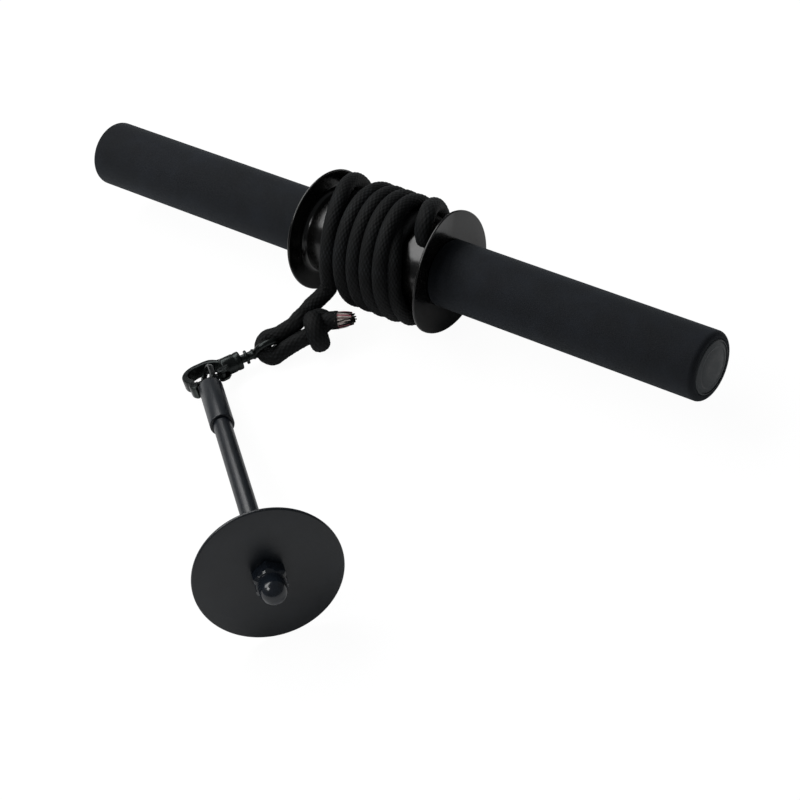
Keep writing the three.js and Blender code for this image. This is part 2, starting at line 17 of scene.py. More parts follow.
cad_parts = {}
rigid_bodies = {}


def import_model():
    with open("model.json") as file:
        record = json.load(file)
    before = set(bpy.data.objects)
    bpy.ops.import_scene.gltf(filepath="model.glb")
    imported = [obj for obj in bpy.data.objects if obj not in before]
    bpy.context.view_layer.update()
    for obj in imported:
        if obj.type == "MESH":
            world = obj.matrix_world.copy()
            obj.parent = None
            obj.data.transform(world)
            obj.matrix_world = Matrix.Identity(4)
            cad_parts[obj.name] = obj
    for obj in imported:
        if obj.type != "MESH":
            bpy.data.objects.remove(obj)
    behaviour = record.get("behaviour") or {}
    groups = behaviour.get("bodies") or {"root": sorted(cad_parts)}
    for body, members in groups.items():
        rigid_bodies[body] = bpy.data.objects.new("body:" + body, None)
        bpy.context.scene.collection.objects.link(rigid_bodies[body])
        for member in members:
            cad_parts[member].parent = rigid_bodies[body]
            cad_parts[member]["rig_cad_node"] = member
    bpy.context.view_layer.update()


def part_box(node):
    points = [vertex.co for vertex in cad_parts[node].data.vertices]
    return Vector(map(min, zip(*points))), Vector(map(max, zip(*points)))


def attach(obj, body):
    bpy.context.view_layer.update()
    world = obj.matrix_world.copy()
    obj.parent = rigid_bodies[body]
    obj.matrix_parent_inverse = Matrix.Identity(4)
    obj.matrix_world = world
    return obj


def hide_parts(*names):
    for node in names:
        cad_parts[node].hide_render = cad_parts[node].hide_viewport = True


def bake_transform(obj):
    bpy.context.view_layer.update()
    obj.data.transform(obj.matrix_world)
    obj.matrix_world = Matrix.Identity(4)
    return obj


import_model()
MM = 0.001
bar_low, bar_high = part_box("bar_tube")
bar_centre = (bar_low + bar_high) / 2

# %% [markdown]
# The pieces are placed from two frames: one along the bar, and one on the floor below the middle of
# the bar. Sizes are in millimetres, as a maker measures them, and turn to metres in one place.

# %% Places in millimetres
def floor_place(x, y, z):
    """A point given in millimetres from the floor below the middle of the bar."""
    return Vector((x * MM, bar_centre.y + y * MM, z * MM))


def aimed(place, heading, slope, roll):
    """A frame whose X runs along a heading and a slope, rolled about that X."""
    turned = Matrix.Rotation(math.radians(heading), 4, "Z")
    turned = turned @ Matrix.Rotation(math.radians(-slope), 4, "Y")
    turned = turned @ Matrix.Rotation(math.radians(roll), 4, "X")
    return Matrix.Translation(place) @ turned


def in_scene(name, data):
    """A new object of a mesh, curve, camera or lamp, in the scene."""
    made = bpy.data.objects.new(name, data)
    bpy.context.scene.collection.objects.link(made)
    return made


bar = Matrix.Translation(bar_centre)
mirrored_bar = bar @ Matrix.Rotation(math.pi, 4, "Z")
axis_height = bar_centre.z / MM
print("bar axis height, mm", round(axis_height, 2))

# %% [markdown]
# The camera stands where the photograph was taken from: in front and to the right of the bar, looking
# down at 42 degrees. Its place and turn were solved from the bar's ends, the flanges and the load disc.

# %% Camera
SENSOR_WIDTH, FOCAL_LENGTH = 36, 104.175
CAMERA_X, CAMERA_Y, CAMERA_Z = 0.72367, -0.70564, 0.8294
camera_data = bpy.data.cameras.new("camera")
camera_data.sensor_width = SENSOR_WIDTH
camera_data.lens = FOCAL_LENGTH
camera = in_scene("camera", camera_data)
camera_right = Vector((0.78083567, 0.60183121, -0.16761517))
camera_up = Vector((-0.31521496, 0.61117341, 0.72602107))
camera_back = camera_right.cross(camera_up)
turn = Matrix((camera_right, camera_up, camera_back)).transposed().to_4x4()
camera.matrix_world = Matrix.Translation((CAMERA_X, bar_centre.y + CAMERA_Y, CAMERA_Z)) @ turn
bpy.context.scene.camera = camera
bpy.context.scene.view_settings.view_transform = "Standard"
print("camera looks along", [round(-v, 3) for v in camera_back])

# %% [markdown]
# The rope is braided polyester: a round sleeve of fine strands that cross each other on the slant. It
# could be a plain tube with a bump, but the crossings show on its outline, so the braid is made in the
# mesh. Two families of strands wind round the tube in opposite directions, and each goes over and
# under the other in turn, which is written as one height for every point of the tube.

# %% The braid's height
STRANDS = 13
STRAND_STEP = 2.0
BRAID_DEPTH = 0.42
BRAID_MEAN = 0.7


def braid_height(along, angle):
    """Height of the braid in mm, from mm along the rope and the angle round it."""
    right = STRANDS * angle / (2 * np.pi) + along / (2 * STRAND_STEP)
    left = STRANDS * angle / (2 * np.pi) - along / (2 * STRAND_STEP)
    over = 0.5 + 0.5 * np.cos(np.pi * (np.floor(right) + left - 0.5))
    under = 0.5 + 0.5 * np.cos(np.pi * (np.floor(left) + right + 0.5))
    right_bulge = np.abs(np.sin(np.pi * right)) ** 0.6
    left_bulge = np.abs(np.sin(np.pi * left)) ** 0.6
    height = np.maximum(right_bulge * (0.35 + 0.65 * over), left_bulge * (0.35 + 0.65 * under))
    return BRAID_DEPTH * (height - BRAID_MEAN)


# %% [markdown]
# Three short helpers make every mesh. One turns points and faces into an object, one shades it smooth
# but keeps its sharp edges, and one lists the faces of a tube.

# %% Mesh helpers
def add_mesh(name, points, faces):
    """A new object from points in metres and the faces between them."""
    mesh = bpy.data.meshes.new(name)
    mesh.from_pydata(np.asarray(points, float).tolist(), [], faces)
    mesh.update()
    return in_scene(name, mesh)


def smooth(piece, sharp_angle=32):
    """Smooth shading that keeps the edges over an angle sharp."""
    piece.data.polygons.foreach_set("use_smooth", [True] * len(piece.data.polygons))
    piece.data.set_sharp_from_angle(angle=math.radians(sharp_angle))
    return piece


def ring_faces(rings, around):
    """Quads between rings of points, and the ngons that close both ends."""
    faces = []
    for i in range(rings - 1):
        for k in range(around):
            a, b = i * around + k, i * around + (k + 1) % around
            faces.append((a, a + around, b + around, b))
    last = (rings - 1) * around
    faces.append(tuple(range(around)))
    faces.append(tuple(last + k for k in reversed(range(around))))
    return faces


print("faces of a tube of 3 rings of 8 points", len(ring_faces(3, 8)))

# %% [markdown]
# A rope is a tube swept along a path. The path's points are set one step apart first, so that the
# braid keeps its size, and the tube carries the braid's height as an attribute for the rope's shader.

# %% Rope along a path
ROPE_STEP = 0.5


def even_steps(points, step):
    """The same path with its points one step apart, as an array in mm."""
    points = np.asarray(points, float)
    lengths = np.r_[0, np.cumsum(np.linalg.norm(np.diff(points, axis=0), axis=1))]
    count = max(2, int(round(lengths[-1] / step)) + 1)
    wanted = np.linspace(0, lengths[-1], count)
    return np.stack([np.interp(wanted, lengths, points[:, k]) for k in range(3)], axis=1)


def smooth_path(points, steps=14):
    """A Catmull-Rom curve through a few chosen points."""
    points = [np.asarray(p, float) for p in points]
    points = [2 * points[0] - points[1], *points, 2 * points[-1] - points[-2]]
    made = []
    for a, b, c, d in zip(points, points[1:], points[2:], points[3:]):
        for i in range(steps):
            t = i / steps
            made.append(0.5 * (2 * b + (c - a) * t + (2 * a - 5 * b + 4 * c - d) * t**2
                               + (3 * b - a - 3 * c + d) * t**3))
    return np.array(made + [points[-2]])


def rope(name, points, width, height, outward=None, step=ROPE_STEP, sides=104, taper=0.0):
    """A braided tube along points in mm. outward(place) is the way that its height is measured."""
    path = even_steps(points, step)
    along = np.gradient(path, axis=0)
    along /= np.linalg.norm(along, axis=1)[:, None]
    up = np.zeros_like(path)
    last = np.array([0.0, 0.0, 1.0])
    for i, way in enumerate(along):
        last = outward(path[i]) if outward else last
        last = last - way * (last @ way)
        last = last / np.linalg.norm(last)
        up[i] = last
    side = np.cross(along, up)
    distance = np.arange(len(path)) * step
    angle = np.arange(sides) * 2 * np.pi / sides
    bump = braid_height(distance[:, None], angle[None, :])
    rest = np.minimum(distance, distance[::-1])
    close = np.sqrt(np.clip(1 - (1 - np.clip(rest / max(taper, step), 0, 1)) ** 2, 0.02, 1))
    close = close if taper else np.ones_like(close)
    across = (width / 2 + bump) * np.cos(angle) * close[:, None]
    upward = (height / 2 + bump) * np.sin(angle) * close[:, None]
    spots = path[:, None] + across[..., None] * side[:, None] + upward[..., None] * up[:, None]
    piece = add_mesh(name, spots.reshape(-1, 3) * MM, ring_faces(len(path), sides))
    # The rope's shader turns this height into colour: painted shade in the braid's grooves and painted
    # highlights on its crests.
    relief = piece.data.attributes.new("braid_relief", "FLOAT", "POINT")
    relief.data.foreach_set("value", (bump / BRAID_DEPTH + BRAID_MEAN).astype(np.float32).ravel())
    return smooth(piece, 80), path


print("rope step, mm", ROPE_STEP)

# %% [markdown]
# The free end of the rope is one cord. It leaves the winding in front and bends forward and down to
# the upper strand of the loop, passes round the swivel eye, and comes back as the lower strand into
# the knot. The photograph shows all of this, so the points are read from it and not from the CAD.

# %% The cord's route
WINDING_RADIUS = 31.997
EXIT_X = -14.6
EXIT_DEGREES = -12
KNOT = Vector((-14.6, -52.8, 12.5))
EYE = Vector((-33.7, -73.7, 8.3))
HOOK_HEADING, HOOK_SLOPE, SWIVEL_ROLL = -119.9, -3, 60
LOOP_RADIUS = 5.9
LEAD_BEND = 4.8
EXIT_SHIFT = -3.5
BULB_POINTS, BULB_SPAN = 9, 160
DRAWN_WIDTH = 9.4
swivel = aimed(floor_place(*EYE), HOOK_HEADING, HOOK_SLOPE, SWIVEL_ROLL)
loop_axis = (EYE - KNOT).normalized()
loop_side = swivel.to_3x3() @ Vector((0, 0, 1))
loop_side = (loop_side - loop_axis * loop_side.dot(loop_axis)).normalized()
exit_angle = math.radians(EXIT_DEGREES)
exit_place = Vector((EXIT_X, -WINDING_RADIUS * math.cos(exit_angle),
                     WINDING_RADIUS * math.sin(exit_angle))) + Vector((EXIT_SHIFT, 0, axis_height))
exit_run = Vector((0, math.sin(-exit_angle), -math.cos(exit_angle)))
bend_place = exit_place + exit_run * LEAD_BEND
loop_out = loop_axis.cross(loop_side)


def knot_place(along, side, out=0.0):
    """A place in mm from the knot's middle: along the loop, towards its upper strand, and below it."""
    return KNOT + loop_axis * along + loop_side * side + loop_out * out


route = [exit_place - exit_run * 2, exit_place, bend_place + Vector((-1.2, -1.8, 0.4))]
route += [Vector((-22.6, -38.0, 20.4)), Vector((-24.8, -42.2, 18.2)), Vector((-25.6, -46.8, 16.4))]
route += [knot_place(6.6, 8.9, -1.6), knot_place(10.5, 7.2), knot_place(16, 5.9), knot_place(20.5, 5.0)]
bulb = knot_place(25.2, -0.4)
for i in range(BULB_POINTS):
    turn = math.radians(BULB_SPAN / 2) - math.radians(BULB_SPAN) * i / (BULB_POINTS - 1)
    route.append(bulb + LOOP_RADIUS * (loop_side * math.sin(turn) + loop_axis * math.cos(turn)))
route += [knot_place(20.5, -4.6), knot_place(14.5, -3.2), knot_place(9, -2.2), knot_place(3, -1.6),
          knot_place(-2, -1.2)]
print("route points", len(route))

# %% [markdown]
# The route becomes a smooth curve, and the curve a braided rope. Slack rope swells a little, so it is
# drawn wider than the rope's nominal diameter.

# %% The cord
to_row = np.array([0, bar_centre.y / MM, 0])
cord_path = even_steps(smooth_path(route) + to_row, ROPE_STEP)
leash_rope, cord_path = rope("leash_rope", cord_path, width=DRAWN_WIDTH, height=DRAWN_WIDTH)

# %% [markdown]
# In the knot the returning end of the rope wraps once round the two strands of the loop and leaves as
# a short tail. The turn could be a plain ring, but one rope that winds round the strands shows how the
# knot is tied. The turn is pulled wide and flat, as in the photograph.

# %% Knot
def knot_outward(place):
    """The way out from the knot's axis, which keeps the flattened turns lying flat on it."""
    away = Vector(place - to_row) - KNOT
    away -= loop_axis * away.dot(loop_axis)
    return np.array(away.normalized())


WRAP_POINTS, WRAP_START, WRAP_SPAN = 17, 60, 340
WRAP_SIDE, WRAP_OUT = 7.8, 6.9
wrap = [knot_place(0.8, 2.0, 2.6)]
for i in range(WRAP_POINTS):
    turn = math.radians(WRAP_START - WRAP_SPAN * i / (WRAP_POINTS - 1))
    grow = min(1, (i + 4) / 7)
    wrap.append(knot_place(0.4 - 0.08 * i, -0.9 + WRAP_SIDE * grow * math.sin(turn),
                           WRAP_OUT * grow * math.cos(turn)))
wrap += [knot_place(-4.4, 7.2, 0.6), knot_place(-7.2, 4.6, 1.0), knot_place(-9.6, 2.0, 1.0)]
knot_wraps, _ = rope("knot_wraps", smooth_path(wrap, 6) + to_row, width=10.6, height=8.2,
                     outward=knot_outward, taper=3.0)
print("knot drawn through", len(wrap), "points")

# %% [markdown]
# The tail is the cut end of the rope. Its black sleeve stops after a few millimetres, and the yarns of
# the core stand out beyond it. White and red ones lie outside, and the black ones in the middle are a
# little longer, which makes the dark tip. Each yarn is a thin bent tube, because a solid plug with
# painted stripes would show as a plug from the side.

# %% Tail
TAIL_ROOT = Vector((-9.2, -44.9, 15.2))
TAIL_TIP = Vector((1.2, -37.4, 15.4))
YARN_COUNT, YARN_RINGS, YARN_SIDES = 110, 8, 7
YARN_RADIUS, BUNDLE_RADIUS, CORE_RADIUS = 0.72, 4.4, 3.1
BLACK_YARN = 2
tail_way = (TAIL_TIP - TAIL_ROOT).normalized()
sleeve_points = [KNOT.lerp(TAIL_ROOT, 0.3), TAIL_ROOT - tail_way * 2, TAIL_ROOT + tail_way * 4.2]
tail_sleeve, _ = rope("tail_sleeve", smooth_path(sleeve_points, 8) + to_row, width=10.4, height=10.0)

yarns = random.Random(11)
tail_side = tail_way.cross(Vector((0, 0, 1))).normalized()
tail_up = tail_side.cross(tail_way)
yarn_points, yarn_faces, yarn_kinds = [], [], []
for _ in range(YARN_COUNT):
    reach = BUNDLE_RADIUS * math.sqrt(yarns.random())
    turn = yarns.uniform(0, 2 * math.pi)
    offset = tail_side * reach * math.cos(turn) + tail_up * reach * math.sin(turn)
    shares = [52, 38, 10] if reach > CORE_RADIUS else [24, 6, 70]
    kind = yarns.choices([0, 1, BLACK_YARN], weights=shares)[0]
    length = yarns.uniform(10.4, 12.4) if kind == BLACK_YARN else yarns.uniform(7.6, 10.6)
    bow = Vector([yarns.uniform(-1, 1) for _ in range(3)]) * 0.7
    first = len(yarn_points)
    for i in range(YARN_RINGS):
        share = i / (YARN_RINGS - 1)
        spread = offset * (1 - 0.28 * share**3)
        middle = TAIL_ROOT + tail_way * (1.4 + length * share) + spread + bow * share**2
        thin = YARN_RADIUS * (1 - 0.45 * share)
        for k in range(YARN_SIDES):
            a = 2 * math.pi * k / YARN_SIDES
            spot = middle + thin * (tail_side * math.cos(a) + tail_up * math.sin(a))
            yarn_points.append(floor_place(*spot))
    for face in ring_faces(YARN_RINGS, YARN_SIDES):
        yarn_faces.append(tuple(first + v for v in face))
        yarn_kinds.append(kind)
frayed_yarns = smooth(add_mesh("frayed_yarns", yarn_points, yarn_faces), 60)
print("yarns", YARN_COUNT)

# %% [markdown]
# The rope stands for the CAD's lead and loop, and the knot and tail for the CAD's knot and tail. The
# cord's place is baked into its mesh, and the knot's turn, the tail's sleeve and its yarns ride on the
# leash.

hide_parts("rope_lead", "rope_loop")
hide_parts("rope_knot")
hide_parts("rope_tail")
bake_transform(leash_rope)
for piece in (knot_wraps, tail_sleeve, frayed_yarns):
    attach(piece, "leash")

# %% [markdown]
# On the drum the rope lies in two layers. The outer one is a single rope of five turns that lean
# towards the left flange at the back. Past the fifth turn it dives to the inner layer in front, and
# comes up again over the top, where it stands above its neighbours. The inner layer is pressed flat.

# %% Outer layer
OUTER_TURNS, TURN_STEPS = 4.85, 96
OUTER_PITCH, FIRST_LEAN, LEAN_GROWTH, FIRST_DRIFT = 9.3, 9, 1.4, 15
EXIT_STEP, EXIT_TURNS, PRESSED = 1.7, 0.1, 0.4
DIVE = [(27.0, 312, 31.0), (27.4, 330, 29.6), (27.0, 348, 28.2), (26.4, 365, 27.4), (25.8, 390, 27.2),
        (23.6, 407, 27.2), (20.2, 424, 27.2), (16.0, 440, 27.2), (12.0, 460, 27.2)]
FIRST_TURN = [(33.6, 78, 18.0), (33.8, 79, 23.0), (34.0, 82, 28.0), (33.6, 89, 32.4), (31.8, 98, 34.0),
              (28.6, 109, 33.8), (25.4, 121, 33.2), (22.2, 135, 32.6), (19.8, 152, 31.4),
              (19.0, 175, 30.0), (20.0, 205, 28.4), (22.4, 240, 27.2), (24.0, 275, 27.0)]
bar_shift = np.array([0, bar_centre.y, bar_centre.z]) / MM


def bar_outward(place):
    """The way out from the bar's axis."""
    away = (place - bar_shift) * np.array([0, 1, 1])
    return away / np.linalg.norm(away)


def wound(x, angle, reach):
    """A point of a turn, in mm from the bar's axis: angle 0 is in front and 90 on top."""
    a = math.radians(angle)
    return np.array([x, -reach * math.cos(a), reach * math.sin(a)])


outer = []
for i in range(int(OUTER_TURNS * TURN_STEPS) + 1):
    turns = i / TURN_STEPS
    sway = math.sin(math.pi * turns) ** 2
    begun = min(1, turns / EXIT_TURNS)
    x = EXIT_X + EXIT_SHIFT + EXIT_STEP * begun + OUTER_PITCH * turns
    x -= (FIRST_LEAN + LEAN_GROWTH * turns) * sway
    x -= FIRST_DRIFT * sway**2 if turns < 1 else 0
    outer.append(wound(x, EXIT_DEGREES + 360 * turns, WINDING_RADIUS - PRESSED * begun))
dive = smooth_path([outer[-1], *(wound(*spot) for spot in DIVE)], 12)
outer_path = np.vstack([outer[:-1], dive])
rope_outer, outer_path = rope("rope_outer_layer", outer_path + bar_shift, width=9.0, height=8.0,
                              outward=bar_outward)
first_turn = smooth_path([wound(*spot) for spot in FIRST_TURN], 12)
rope_first, _ = rope("rope_first_turn", first_turn + bar_shift, width=9.8, height=7.8,
                     outward=bar_outward)
print("outer layer, mm of rope", round(float(np.linalg.norm(np.diff(outer_path, axis=0), axis=1).sum())))

# %% [markdown]
# The inner layer is nearly hidden. It needs fewer steps and sides, but it has to be there, because the
# drum would show between the outer turns without it.

# %% Inner layer
INNER_TURNS, INNER_STEPS = 5, 48
INNER_START, INNER_END, INNER_PITCH, INNER_LEAN, INNER_RADIUS = -19.5, 20.0, 9.6, 8, 25.6
inner = []
for i in range(INNER_TURNS * INNER_STEPS):
    turns = i / INNER_STEPS
    lean = INNER_LEAN * math.sin(math.pi * turns) ** 2 * (1 - turns / 6)
    x = min(INNER_START + INNER_PITCH * turns - lean, INNER_END)
    inner.append(wound(x, 360 * turns - 30, INNER_RADIUS))
rope_inner, _ = rope("rope_inner_layer", np.array(inner) + bar_shift, width=9.6, height=5.0,
                     outward=bar_outward, step=0.8, sides=40, taper=3.0)
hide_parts("rope_winding")
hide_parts("rope_inner_turns")
for piece in (rope_outer, rope_first, rope_inner):
    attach(piece, "roller")
print("inner turns", INNER_TURNS)

# %% [markdown]
# The winding rests on the floor, where its weight presses each turn flat. The lowest points of the
# tube are lifted to the floor instead of passing below it.

# %% Flat spots on the floor
FLOOR_CLEARANCE = 0.00005
for piece in (leash_rope, knot_wraps, rope_outer):
    spots = np.zeros(len(piece.data.vertices) * 3, np.float32)
    piece.data.vertices.foreach_get("co", spots)
    spots = spots.reshape(-1, 3)
    spots[:, 2] = np.maximum(spots[:, 2], FLOOR_CLEARANCE)
    piece.data.vertices.foreach_set("co", spots.ravel())
    piece.data.update()
print("lowest rope point, m", round(float(spots[:, 2].min()), 5))

# %% [markdown]
# Turned parts, such as the grips, flanges, rod and disc, are made as a lathe makes them: an outline of
# places along the axis and radii is swept round. Corners are real rounds, which catch the light. A nut
# is the same shape with its radius cut back to the flats of a hexagon, which gives the true curved
# edge where the chamfer meets each flat.

# %% Turned pieces
def arc(x, y, radius, start, end, steps=6):
    """Points of an arc or a round corner about (x, y) in mm, between two angles in degrees."""
    angles = [math.radians(start + (end - start) * i / steps) for i in range(steps + 1)]
    return [(x + radius * math.cos(a), y + radius * math.sin(a)) for a in angles]


def from_place(start, *spots):
    """Points of an outline whose places along the axis are measured from a start."""
    return [(start + x, y) for x, y in spots]


def turned_piece(name, outline, place, sides=160, flats=None, sharp=32):
    """A piece turned about the X axis of a frame, from (mm along, mm radius). flats cuts a hexagon."""
    points = []
    for x, r in outline:
        for k in range(sides):
            a = 2 * math.pi * k / sides
            reach = r
            if flats:
                to_flat = (a + math.pi / 6) % (math.pi / 3) - math.pi / 6
                reach = min(r, flats / 2 / math.cos(to_flat))
            points.append(place @ (Vector((x, reach * math.cos(a), reach * math.sin(a))) * MM))
    faces = []
    count = len(outline)
    for i in range(count):
        j = (i + 1) % count
        if outline[i][1] == 0 and outline[j][1] == 0:
            continue
        for k in range(sides):
            n = (k + 1) % sides
            faces.append((i * sides + k, j * sides + k, j * sides + n, i * sides + n))
    piece = add_mesh(name, points, faces)
    clean(piece)
    return smooth(piece, sharp)


def clean(piece):
    """Joins points that lie in one place and turns every face outward."""
    distance = 1e-6
    made = bmesh.new()
    made.from_mesh(piece.data)
    bmesh.ops.remove_doubles(made, verts=made.verts, dist=distance)
    bmesh.ops.dissolve_degenerate(made, edges=made.edges, dist=distance)
    bmesh.ops.recalc_face_normals(made, faces=made.faces)
    made.to_mesh(piece.data)
    made.free()


print("points of a round corner", len(arc(0, 0, 1, 0, 90)))

# %% [markdown]
# Each grip is a sleeve of closed-cell foam with rounded ends, slid over the steel tube. An end plug of
# dark plastic closes the tube inside the grip's outer end. Its head is slightly domed, with a shallow
# groove near the rim.

# %% Grips and end plugs
BAR_HALF = 211
GRIP_RADIUS = 19
GRIP_EDGE = 3.1
GRIP_START = 43.3
TUBE_SEAT = 13.0
PLUG_RADIUS = 15
PLUG_HEAD = 2.2
PLUG_GAP = 0.3
STEM_RADIUS, STEM_HOLE, STEM_LENGTH = 11, 8.8, 18


def grip(name, place):
    """A foam sleeve with a small inner edge, a round outer edge and a recess for the plug."""
    outline = [(GRIP_START, TUBE_SEAT), (GRIP_START, GRIP_RADIUS - 0.5)]
    outline += arc(GRIP_START + 0.5, GRIP_RADIUS - 0.5, 0.5, 180, 90, 4)
    span = BAR_HALF - GRIP_EDGE - GRIP_START
    outline += [(GRIP_START + span * i / 24, GRIP_RADIUS) for i in range(1, 24)]
    outline += arc(BAR_HALF - GRIP_EDGE, GRIP_RADIUS - GRIP_EDGE, GRIP_EDGE, 90, 0, 10)
    floor = BAR_HALF - PLUG_HEAD - PLUG_GAP
    outline += [(BAR_HALF, PLUG_RADIUS + PLUG_GAP), (floor, PLUG_RADIUS + PLUG_GAP), (floor, TUBE_SEAT)]
    return turned_piece(name, outline, place)


def end_plug(name, place):
    """A plug with a domed head, a groove near its rim and a hollow stem."""
    seat = BAR_HALF - PLUG_HEAD + PLUG_GAP
    face = seat + PLUG_HEAD
    outline = from_place(face, (0.7, 0), (0.66, 5), (0.5, 9.6), (0.2, 10.2), (0.2, 10.9), (0.42, 11.5))
    outline += arc(face - 0.8, PLUG_RADIUS - 1.0, 1.0, 80, 0, 6)
    outline += [(seat, PLUG_RADIUS), (seat, STEM_RADIUS), (seat - STEM_LENGTH, STEM_RADIUS),
                (seat - STEM_LENGTH, STEM_HOLE), (seat, STEM_HOLE), (seat, 0)]
    return turned_piece(name, outline, place)


for side, place in (("left", mirrored_bar), ("right", bar)):
    foam = grip(f"{side}_foam_sleeve", place)
    plug = end_plug(f"{side}_plug_cap", place)
    for piece, node in ((foam, f"{side}_grip"), (plug, f"{side}_end_plug")):
        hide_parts(node)
        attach(piece, "roller")
print("grips and plugs made")

# %% [markdown]
# The spool is a drum between two thin flanges, pressed from sheet steel and enamelled black. The
# flanges' rims are rolled round, and where flange meets drum a small fillet of enamel fills the
# corner, which shows as a thin bright ring. The right flange's rim leans outward in front, as the
# photograph shows.

# %% Spool
FLANGE_RADIUS = 35
FLANGE_OUT = 43
FLANGE_IN = 41.4
DRUM_RADIUS = 23
RIM_ROUND = 0.7
FILLET = 3.4
HUB_LENGTH, HUB_RADIUS, HUB_HOLE = 12, 21.1, 18.5
DRUM_INSIDE, DRUM_GAP = 21.4, 0.3
RIM_BEND, BEND_MIDDLE, BEND_SPREAD, BEND_START = 4.6, 38, 76, 20


def bend_rim(flange):
    """Bends the rim of the right flange outward in front, as the rope has pushed it."""
    for spot in flange.data.vertices:
        away = (spot.co - bar_centre) / MM
        reach = math.hypot(away.y, away.z)
        angle = math.degrees(math.atan2(away.z, -away.y))
        off = min(90, abs(angle - BEND_MIDDLE) * 90 / BEND_SPREAD)
        share = max(0.0, math.cos(math.radians(off))) ** 1.2
        height = max(0.0, (reach - BEND_START) / (FLANGE_RADIUS - BEND_START))
        spot.co.x += RIM_BEND * MM * share * height**1.3
    flange.data.update()


for side, place in (("left", mirrored_bar), ("right", bar)):
    outline = [(FLANGE_OUT, TUBE_SEAT), (FLANGE_OUT, 20), (FLANGE_OUT, 27)]
    outline += arc(FLANGE_OUT - RIM_ROUND, FLANGE_RADIUS - RIM_ROUND, RIM_ROUND, 0, 90, 5)
    outline += arc(FLANGE_IN + RIM_ROUND, FLANGE_RADIUS - RIM_ROUND, RIM_ROUND, 90, 180, 5)
    outline += [(FLANGE_IN, 32), (FLANGE_IN, 29)]
    outline += arc(FLANGE_IN - FILLET, DRUM_RADIUS + FILLET, FILLET, 0, -90, 10)
    outline += [(FLANGE_IN - FILLET, HUB_RADIUS), (FLANGE_IN - HUB_LENGTH, HUB_RADIUS),
                (FLANGE_IN - HUB_LENGTH, HUB_HOLE), (FLANGE_IN, HUB_HOLE), (FLANGE_IN, TUBE_SEAT)]
    flange = turned_piece(f"{side}_flange_plate", outline, place)
    if side == "right":
        bend_rim(flange)
    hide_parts(f"{side}_flange")
    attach(flange, "roller")
drum_half = FLANGE_IN - DRUM_GAP
drum_outline = [(-drum_half, DRUM_INSIDE), (-drum_half, DRUM_RADIUS), (0, DRUM_RADIUS),
                (drum_half, DRUM_RADIUS), (drum_half, DRUM_INSIDE)]
drum = turned_piece("drum_shell", drum_outline, bar)
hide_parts("spool_drum")
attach(drum, "roller")
print("spool made")

# %% [markdown]
# The hook, its gate and the pin's eye are flat shapes with rounded edges, as forging or casting gives
# them. A flat 2D curve suits them: its fill makes both faces, its extrusion the thickness and its
# bevel the round edge, and a second spline cuts the eye's hole.

# %% Flat pieces with rounded edges
def flat_piece(name, outlines, thickness, edge, place, offset_z=0.0):
    """A piece cut from outlines in mm, in the XY plane of a frame, with edges rounded by edge mm."""
    curve = bpy.data.curves.new(name + "_outline", "CURVE")
    curve.dimensions = "2D"
    curve.fill_mode = "BOTH"
    curve.extrude = (thickness / 2 - edge) * MM
    curve.bevel_depth = edge * MM
    curve.bevel_resolution = 4
    curve.offset = -edge * MM
    for outline in outlines:
        spline = curve.splines.new("POLY")
        spline.points.add(len(outline) - 1)
        for point, (x, y) in zip(spline.points, outline):
            point.co = (x * MM, y * MM, 0, 1)
        spline.use_cyclic_u = True
    holder = in_scene(name + "_holder", curve)
    bpy.context.view_layer.update()
    graph = bpy.context.evaluated_depsgraph_get()
    mesh = bpy.data.meshes.new_from_object(holder.evaluated_get(graph))
    bpy.data.objects.remove(holder)
    bpy.data.curves.remove(curve)
    mesh.name = name
    mesh.transform(place @ Matrix.Translation((0, 0, offset_z * MM)))
    piece = in_scene(name, mesh)
    clean(piece)
    return smooth(piece, 35)


def joined(name, pieces):
    """One object from several, with the first one's place in the list."""
    bpy.ops.object.select_all(action="DESELECT")
    for piece in pieces:
        piece.select_set(True)
    bpy.context.view_layer.objects.active = pieces[0]
    bpy.ops.object.join()
    made = pieces[0]
    made.name = name
    made.data.name = name
    return made


print("points of half a circle", len(arc(0, 0, 1, 0, 180, 24)))

# %% [markdown]
# The swivel eye is a ring of round bar on a shank, with a collar where the shank enters the hook's
# barrel, so that the hook can spin while the rope stays still.

# %% Swivel eye
EYE_RING_RADIUS = 7.15
EYE_BAR_RADIUS = 1.85
EYE_STEPS, EYE_SIDES = 96, 28
ring_points, ring_quads = [], []
for i in range(EYE_STEPS):
    a = 2 * math.pi * i / EYE_STEPS
    here, there = i * EYE_SIDES, (i + 1) % EYE_STEPS * EYE_SIDES
    for k in range(EYE_SIDES):
        b = 2 * math.pi * k / EYE_SIDES
        n = (k + 1) % EYE_SIDES
        reach = EYE_RING_RADIUS + EYE_BAR_RADIUS * math.cos(b)
        spot = Vector((reach * math.cos(a), reach * math.sin(a), EYE_BAR_RADIUS * math.sin(b))) * MM
        ring_points.append(swivel @ spot)
        ring_quads.append((here + k, there + k, there + n, here + n))
eye_ring = smooth(add_mesh("eye_ring", ring_points, ring_quads))
shank_outline = [(6.4, 0), (6.4, 2.2), (8.6, 3.1), (9.6, 2.5), (11.6, 2.4)]
shank_outline += arc(12.3, 3.5, 0.5, 180, 90, 4) + arc(12.9, 3.5, 0.5, 90, 0, 4)
shank_outline += [(13.5, 2.4), (18.7, 2.4), (18.7, 3.5), (21.7, 3.5), (21.7, 0)]
eye_shank = turned_piece("eye_shank", shank_outline, swivel, sides=64)
swivel_eye = joined("swivel_ring", [eye_ring, eye_shank])
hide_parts("swivel_eye")
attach(swivel_eye, "swivel")
print("swivel eye", len(swivel_eye.data.polygons), "faces")

# %% [markdown]
# The hook's body is one casting: a barrel with a rolled lip, a bow that ends in a flared nose, and two
# lugs with the gate between them. The barrel is turned, and the bow and lugs are flat pieces that run
# into it.

